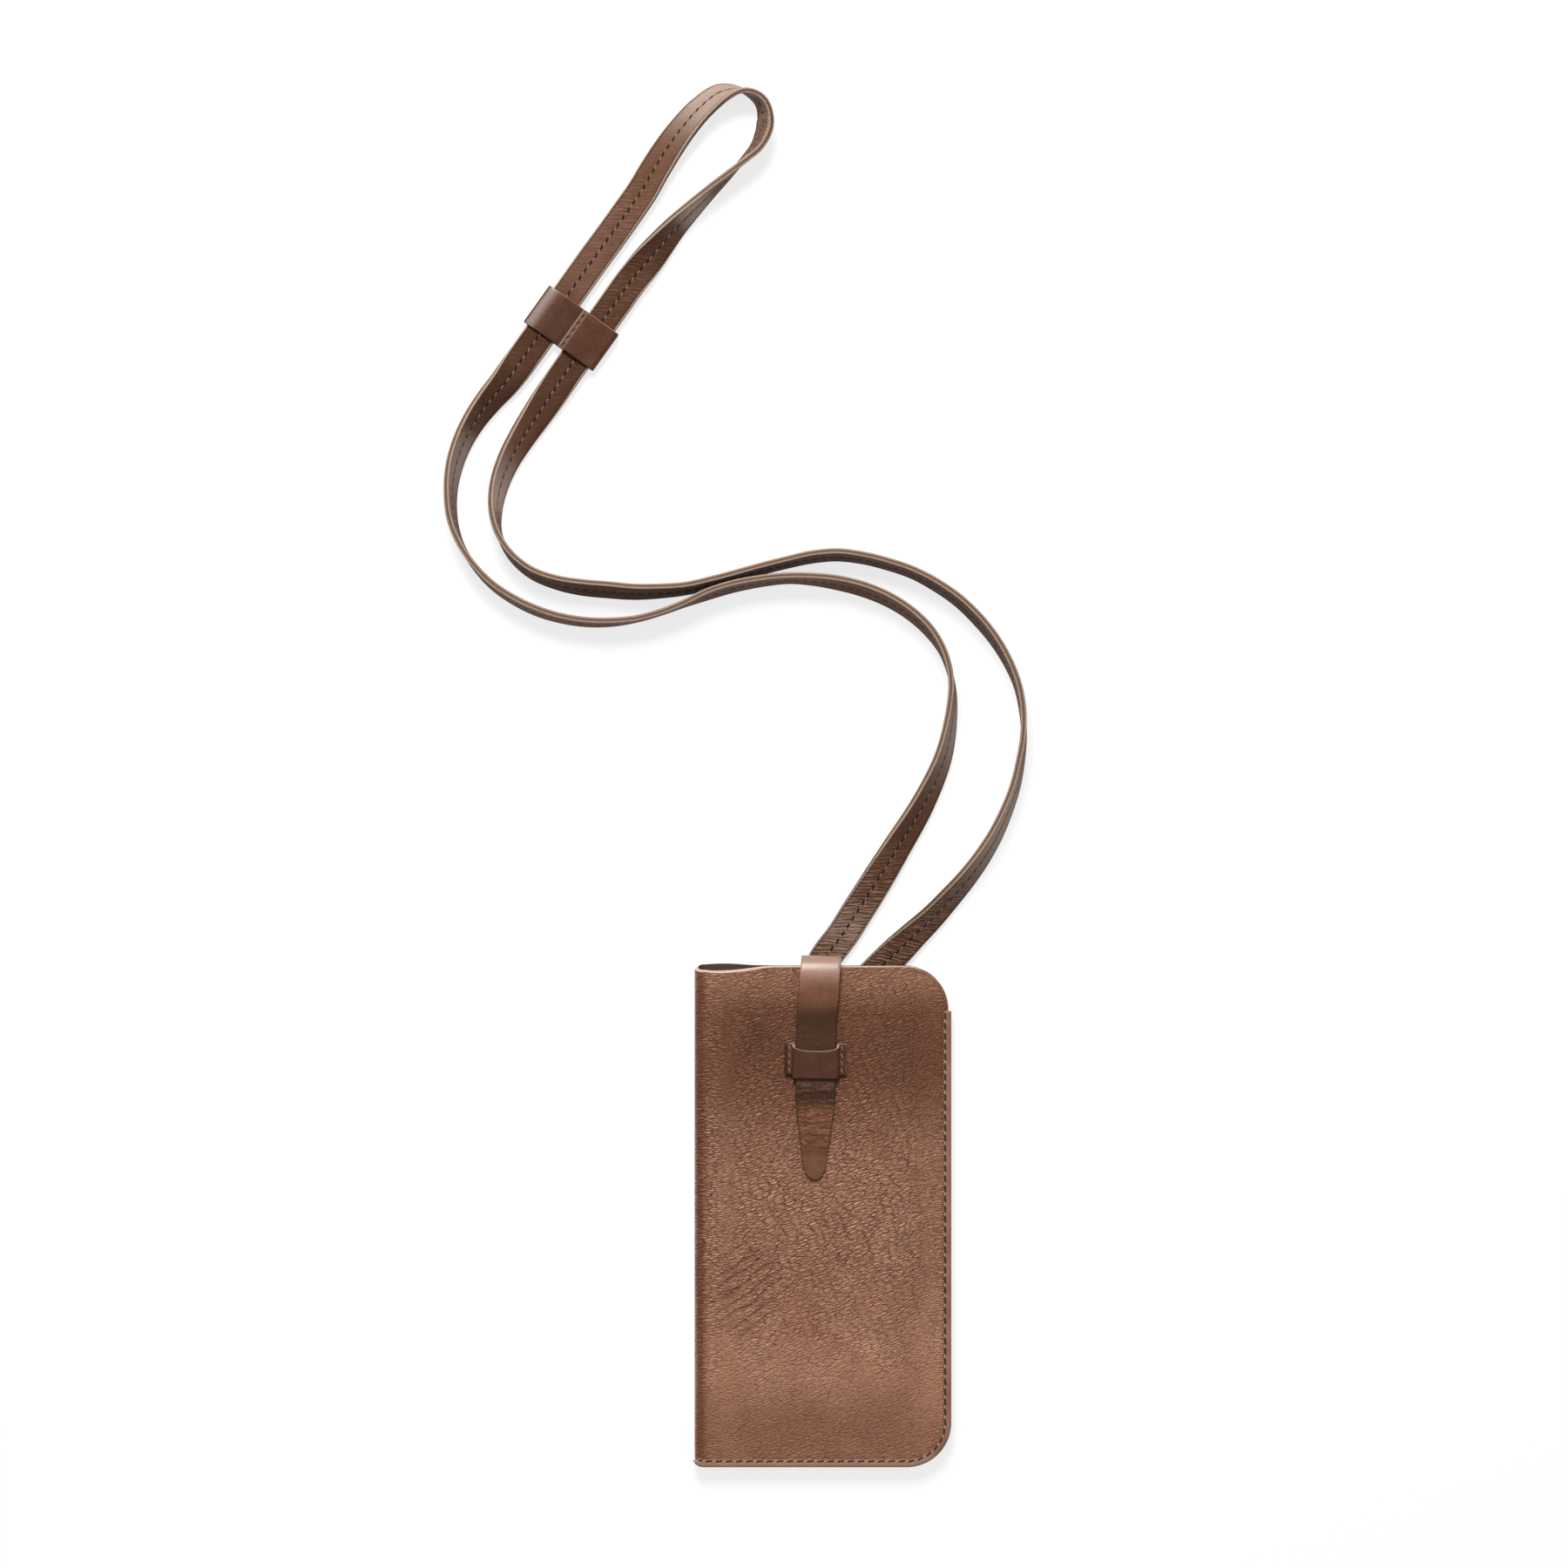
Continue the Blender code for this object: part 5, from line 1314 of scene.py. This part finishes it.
def binding_path(step):
    """Points and outward directions along the raw edge under the strip."""
    top = BOTTOM_Y + BINDING_SIDE_LEN
    corner = (SIDE_X - BOTTOM_CORNER_R, BOTTOM_Y + BOTTOM_CORNER_R)
    left = (FOLD_X + FOLD_CORNER_R, BOTTOM_Y + FOLD_CORNER_R)
    path = [((SIDE_X, top), (1.0, 0.0))]

    def straight(a, b, out):
        n = max(1, int(round(math.hypot(b[0] - a[0], b[1] - a[1]) / step)))
        path.extend(((mix(a[0], b[0], i / n), mix(a[1], b[1], i / n)), out)
                    for i in range(1, n + 1))

    def turn(middle, r, start, end):
        n = max(3, int(round(r * abs(end - start) / step)))
        for i in range(1, n + 1):
            a = mix(start, end, i / n)
            out = (math.cos(a), math.sin(a))
            path.append(((middle[0] + r * out[0], middle[1] + r * out[1]), out))

    straight((SIDE_X, top), (SIDE_X, corner[1]), (1.0, 0.0))
    turn(corner, BOTTOM_CORNER_R, 0.0, -math.pi / 2.0)
    straight((corner[0], BOTTOM_Y), (left[0], BOTTOM_Y), (0.0, -1.0))
    turn(left, FOLD_CORNER_R, -math.pi / 2.0, -math.pi / 2.0 - END_TURN)
    return np.array(path).transpose(1, 0, 2)


def binding_section():
    """Closed outline of the strip: distance out from the raw edge, then height."""
    low, high = BINDING_INNER, BINDING_OUTER
    line = [(-BINDING_COVER, low), (-BINDING_COVER - 0.00006, low + 0.3 * BINDING_T),
            (-BINDING_COVER, high - 0.00022), (-BINDING_COVER + 0.00022, high - 0.00005)]
    line += [(a, high) for a in np.linspace(-BINDING_COVER + 0.0004, -0.0002, 9)]
    r = 0.00115
    for k in range(1, 8):
        a = math.radians(90.0 * k / 7.0)
        line.append((BINDING_OUT - r + r * math.sin(a), high - r + r * math.cos(a)))
    inside = [(0.00008, low - 0.0001), (0.00012, low - 0.0004)]
    loop = np.array(line + [(x, -z) for x, z in reversed(line)]
                    + [(x, -z) for x, z in reversed(inside)] + inside)
    dip = 0.00016 * bell((loop[:, 0] + BINDING_STITCH_IN) / 0.00045)
    loop[:, 1] -= np.sign(loop[:, 1]) * dip * (np.abs(loop[:, 1]) > low + 0.0002)
    return loop


def edge_binding(leather, edge, thread):
    """Thin strip folded round the seam, sewn near its inner edge."""
    points, outs = binding_path(0.0009)
    run = distances(points)
    off, height = binding_section().T
    side = np.sign(height)
    ripple = 0.00004 * np.cos(2.0 * math.pi * run[:, None] / BINDING_PITCH)
    verts = np.zeros((len(run), len(off), 3))
    verts[:, :, :2] = points[:, None, :] + outs[:, None, :] * off[:, None]
    verts[:, :, 2] = (SEAM_Z + height
                      + side * (ripple * bell((off + BINDING_STITCH_IN) / 0.0007)))
    shape = verts.shape[:2]
    values = {"along": np.broadcast_to(run[:, None], shape),
              "across": np.broadcast_to(off + BINDING_STITCH_IN, shape),
              "side": np.broadcast_to(side, shape)}
    faces = ring_faces(*shape)
    pieces = [solid("edge_binding", verts.reshape(-1, 3), faces, [leather, edge],
                    face_material=[0] * (len(faces) - 2) + [1, 1], attributes=values,
                    outward=True)]
    at = np.arange(BINDING_PITCH, run[-1] - 0.001, BINDING_PITCH)
    mid, out = resample(at, run, points), unit(resample(at, run, outs))
    heading = np.stack([out[:, 1], -out[:, 0], np.zeros(len(at))], axis=1)
    for way, name, seed in ((1.0, "binding_stitches_front", 11),
                            (-1.0, "binding_stitches_back", 17)):
        level = np.full(len(at), SEAM_Z + way * (BINDING_OUTER - 0.00014))
        place = np.column_stack([mid - out * BINDING_STITCH_IN, level])
        pieces.append(stitches(name, place, heading, UP * way, thread, seed, Length=0.0016,
                               Thickness=THREAD_T, Crown=0.00016, Slant=0.22 * way,
                               Spread=0.07))
    for piece in pieces:
        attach(piece, "case")
    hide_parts("seam_binding")


# Tongue and keeper


def tongue_half_width(from_tip):
    """Half width of the tongue at a distance from its tip."""
    tip = TONGUE_TIP_W / 2.0
    sag = max(0.0, 1.0 - from_tip / TONGUE_TIP_ROUND)
    round_ = max(0.12, math.sqrt(1.0 - sag ** 2))
    share = (from_tip - tip) / (TONGUE_TAPER - tip)
    if share > 0.875:
        share = 1.0 - 2.0 * max(0.0, 1.125 - share) ** 2
    body = mix(tip, TONGUE_W / 2.0, share)
    wide = ease((from_tip - TONGUE_TAPER) / (TONGUE_LEN - TONGUE_TAPER))
    return round_ * mix(body, max(body, TONGUE_TOP_W / 2.0), wide)


def arch(from_tip):
    """How far the tongue bows up from the panel between the loop and its bend."""
    start = LOOP_END + ARCH_FROM_LOOP
    end = TONGUE_LEN + TONGUE_REACH - BEND_FRONT_RUN
    return ARCH_RISE * ease((from_tip - start) / (end - start))


def sway(from_tip):
    """How far the tongue has drifted to the right of its own straight line."""
    start = LOOP_END + SWAY_FROM_LOOP
    end = TONGUE_LEN + TONGUE_REACH - TONGUE_T / 2.0
    return TONGUE_SWAY * min(1.0, max(0.0, (from_tip - start) / (end - start))) ** 1.7


def bend_half(way, front, fullness):
    """Line of the bend over the mouth, its upper half (1) or its lower half (-1)."""
    top = FRONT_LEG_Z + ARCH_RISE
    middle, rise = (top + ROOT_Z) / 2.0, (top - ROOT_Z) / 2.0 * way
    run = front - TONGUE_T / 2.0
    straight = TONGUE_LEN + TONGUE_REACH - front
    power = 2.0 / fullness
    return [(straight + run * math.sin(t) ** power,
             middle + rise * max(0.0, math.cos(t)) ** power)
            for t in np.radians(np.linspace(0.0, 90.0, 40))]


def tongue_axes():
    """Origin at the tongue's tip and the directions along and across it."""
    tip = np.array([TONGUE_X_AT_MOUTH - TONGUE_LEN * math.tan(TILT),
                    MOUTH_Y - TONGUE_LEN, 0.0])
    along = np.array([math.sin(TILT), math.cos(TILT), 0.0])
    return tip, along, np.array([math.cos(TILT), -math.sin(TILT), 0.0])


def closure_tongue(leather):
    """Tongue from its tip, over the mouth, to its sewn end behind."""
    tip, along, across = tongue_axes()
    bend = bend_half(1.0, BEND_FRONT_RUN, BEND_FRONT_FULLNESS)
    tail = bend_half(-1.0, BEND_RUN, BEND_FULLNESS)[::-1]
    line = [(d, FRONT_LEG_Z + arch(d)) for d in np.linspace(0.0, bend[0][0], 130)[:-1]]
    line += bend[:-1] + tail
    line += [(tail[-1][0] - ROOT_LEN * k / 20.0, ROOT_Z) for k in range(1, 21)]
    line = np.array(line)
    run = distances(line)
    apex = run[int(np.argmax(line[:, 0]))]
    at = np.concatenate([np.linspace(0.0, 0.006, 26), np.arange(0.0066, run[-1], 0.0006)])
    line = resample(at, run, line)
    ahead = unit(np.gradient(line, axis=0))
    drift = np.array([TONGUE_SWAY if d > apex else sway(x) for d, x in zip(at, line[:, 0])])
    centres = stood_up(line, along, tip) + across * drift[:, None]
    facing = along * -ahead[:, 1:] + UP * ahead[:, :1]
    half = np.array([tongue_half_width(min(d, TONGUE_LEN)) for d in at])
    creased = ease((at - 0.007) / 0.006) * (1.0 - ease((at - 0.031) / 0.006))
    # Painted highlight on the bend over the mouth, and painted shade along the tongue from
    # below the keeper nearly to the bend
    polished = (0.80 * bell((at - apex + 0.0042) / 0.0068)
                - ease((at - 0.0195) / 0.0125) * (1.0 - ease((at - 0.0545) / 0.014)))

    def crown(run, flat, side):
        dome = 0.00012 * (1.0 - (flat / 0.0075) ** 2)
        return np.sign(side) * np.where(side > 0.99, dome * ease((run - 0.002) / 0.004), 0.0)

    tongue = strip("tongue_leather", (centres, across, facing), half, TONGUE_T,
                   TONGUE_EDGE_R, 16, leather, crown, creased=np.maximum(creased, 0.10),
                   polished=polished)
    paint_rim(tongue, at[-1])
    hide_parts("closure_tongue", "tongue_root")
    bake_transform(tongue)


def keeper_band(leather, thread):
    """Loop on the front panel with a sewn tab at each side."""
    tip, along, across = tongue_axes()
    half = LOOP_T / 2.0
    wall = TONGUE_W / 2.0 + LOOP_SIDE_PLAY + half
    low = CASE_DEPTH + GAP + half
    high = low + TONGUE_T + LOOP_TOP_PLAY
    r = min(LOOP_CORNER_R, (high - low) * 0.48)
    turn = [math.radians(22.5 * i) for i in range(1, 5)]
    path = [(wall + half + LOOP_TAB, low - 0.0001), (wall + 0.75 * LOOP_TAB, low - 0.0001),
            (wall + 0.45 * LOOP_TAB, low - 0.00016), (wall + r, low)]
    path += [(wall + r - r * math.sin(a), low + r - r * math.cos(a)) for a in turn]
    path += [(wall - r + r * math.cos(a), high - r + r * math.sin(a)) for a in turn]
    path += [(wall * 0.5, high + 0.00006), (0.0, high + 0.0001)]
    path += [(-x, z) for x, z in reversed(path[:-1])]
    line, normal, run = fine_line(path, 0.00025)
    lift = ease((line[:, 1] - low) / (high - low))
    arc = LOOP_ARC * np.clip(1.0 - np.abs(line[:, 0] / wall) ** 3, 0.0, 1.0) * lift
    centre = TONGUE_LEN - LOOP_FROM_MOUTH
    place = centre - LOOP_LEAN * lift - arc / 2.0
    centres = stood_up(line, across, tip) + along * place[:, None]
    plain = np.zeros(len(line))
    loop = strip("keeper_band", (centres, along, stood_up(-normal, across)),
                 (LOOP_LEN - arc) / 2.0, LOOP_T, BAND_EDGE_R, 10, leather,
                 creased=plain, polished=plain)
    paint_rim(loop, run[-1])
    reach = LOOP_LEN / 2.0 - 0.0016
    points = [tip + across * side * (wall + half + LOOP_TAB * 0.36) + along * (centre + d)
              + UP * (low + half - 0.00010)
              for side in (-1.0, 1.0) for d in np.linspace(-reach, reach, 4)]
    rows = stitches("keeper_stitches", points, along, UP, thread, 8, Length=0.0019,
                    Thickness=THREAD_T, Crown=0.00016, Slant=0.25, Spread=0.12)
    for piece in (loop, rows):
        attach(piece, "case")
    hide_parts("keeper_loop")


# Making


add_camera()
GRAIN = grain_group()
SEWN = sewing_group()
STITCHES = stitch_tree()
pale_thread = sewing_thread("pale_thread", (0.30, 0.22, 0.175), (0.46, 0.355, 0.29))
brown_thread = sewing_thread("brown_thread", (0.20, 0.13, 0.095), (0.34, 0.245, 0.19))
dark_thread = sewing_thread("dark_thread", (0.006, 0.003, 0.002), (0.022, 0.011, 0.008))
slider_brown = smooth_leather("slider_leather", (0.053, 0.018, 0.009), (0.072, 0.027, 0.015),
                              (0.330, 0.225, 0.160))
strap, strap_rows, strap_centre, strap_length = neck_strap(strap_leather(), brown_thread)
slider = slider_band(slider_brown, dark_thread)
add_light()
add_floor()

edge_pale = fibres("raw_edge", (0.42, 0.315, 0.245), (0.60, 0.47, 0.385), 0.75, 0.2,
                   3.0, 3.0, 0.65)
case_leather(panel_leather(), flesh_leather(), edge_pale)
edge_binding(strip_leather(), edge_pale, pale_thread)
closure_tongue(smooth_leather("tongue_leather", (0.134, 0.053, 0.028), (0.178, 0.077, 0.044),
                              (0.250, 0.150, 0.102), 0.36))
keeper_band(smooth_leather("keeper_leather", (0.053, 0.018, 0.009), (0.073, 0.029, 0.017),
                           (0.360, 0.245, 0.180)), brown_thread)
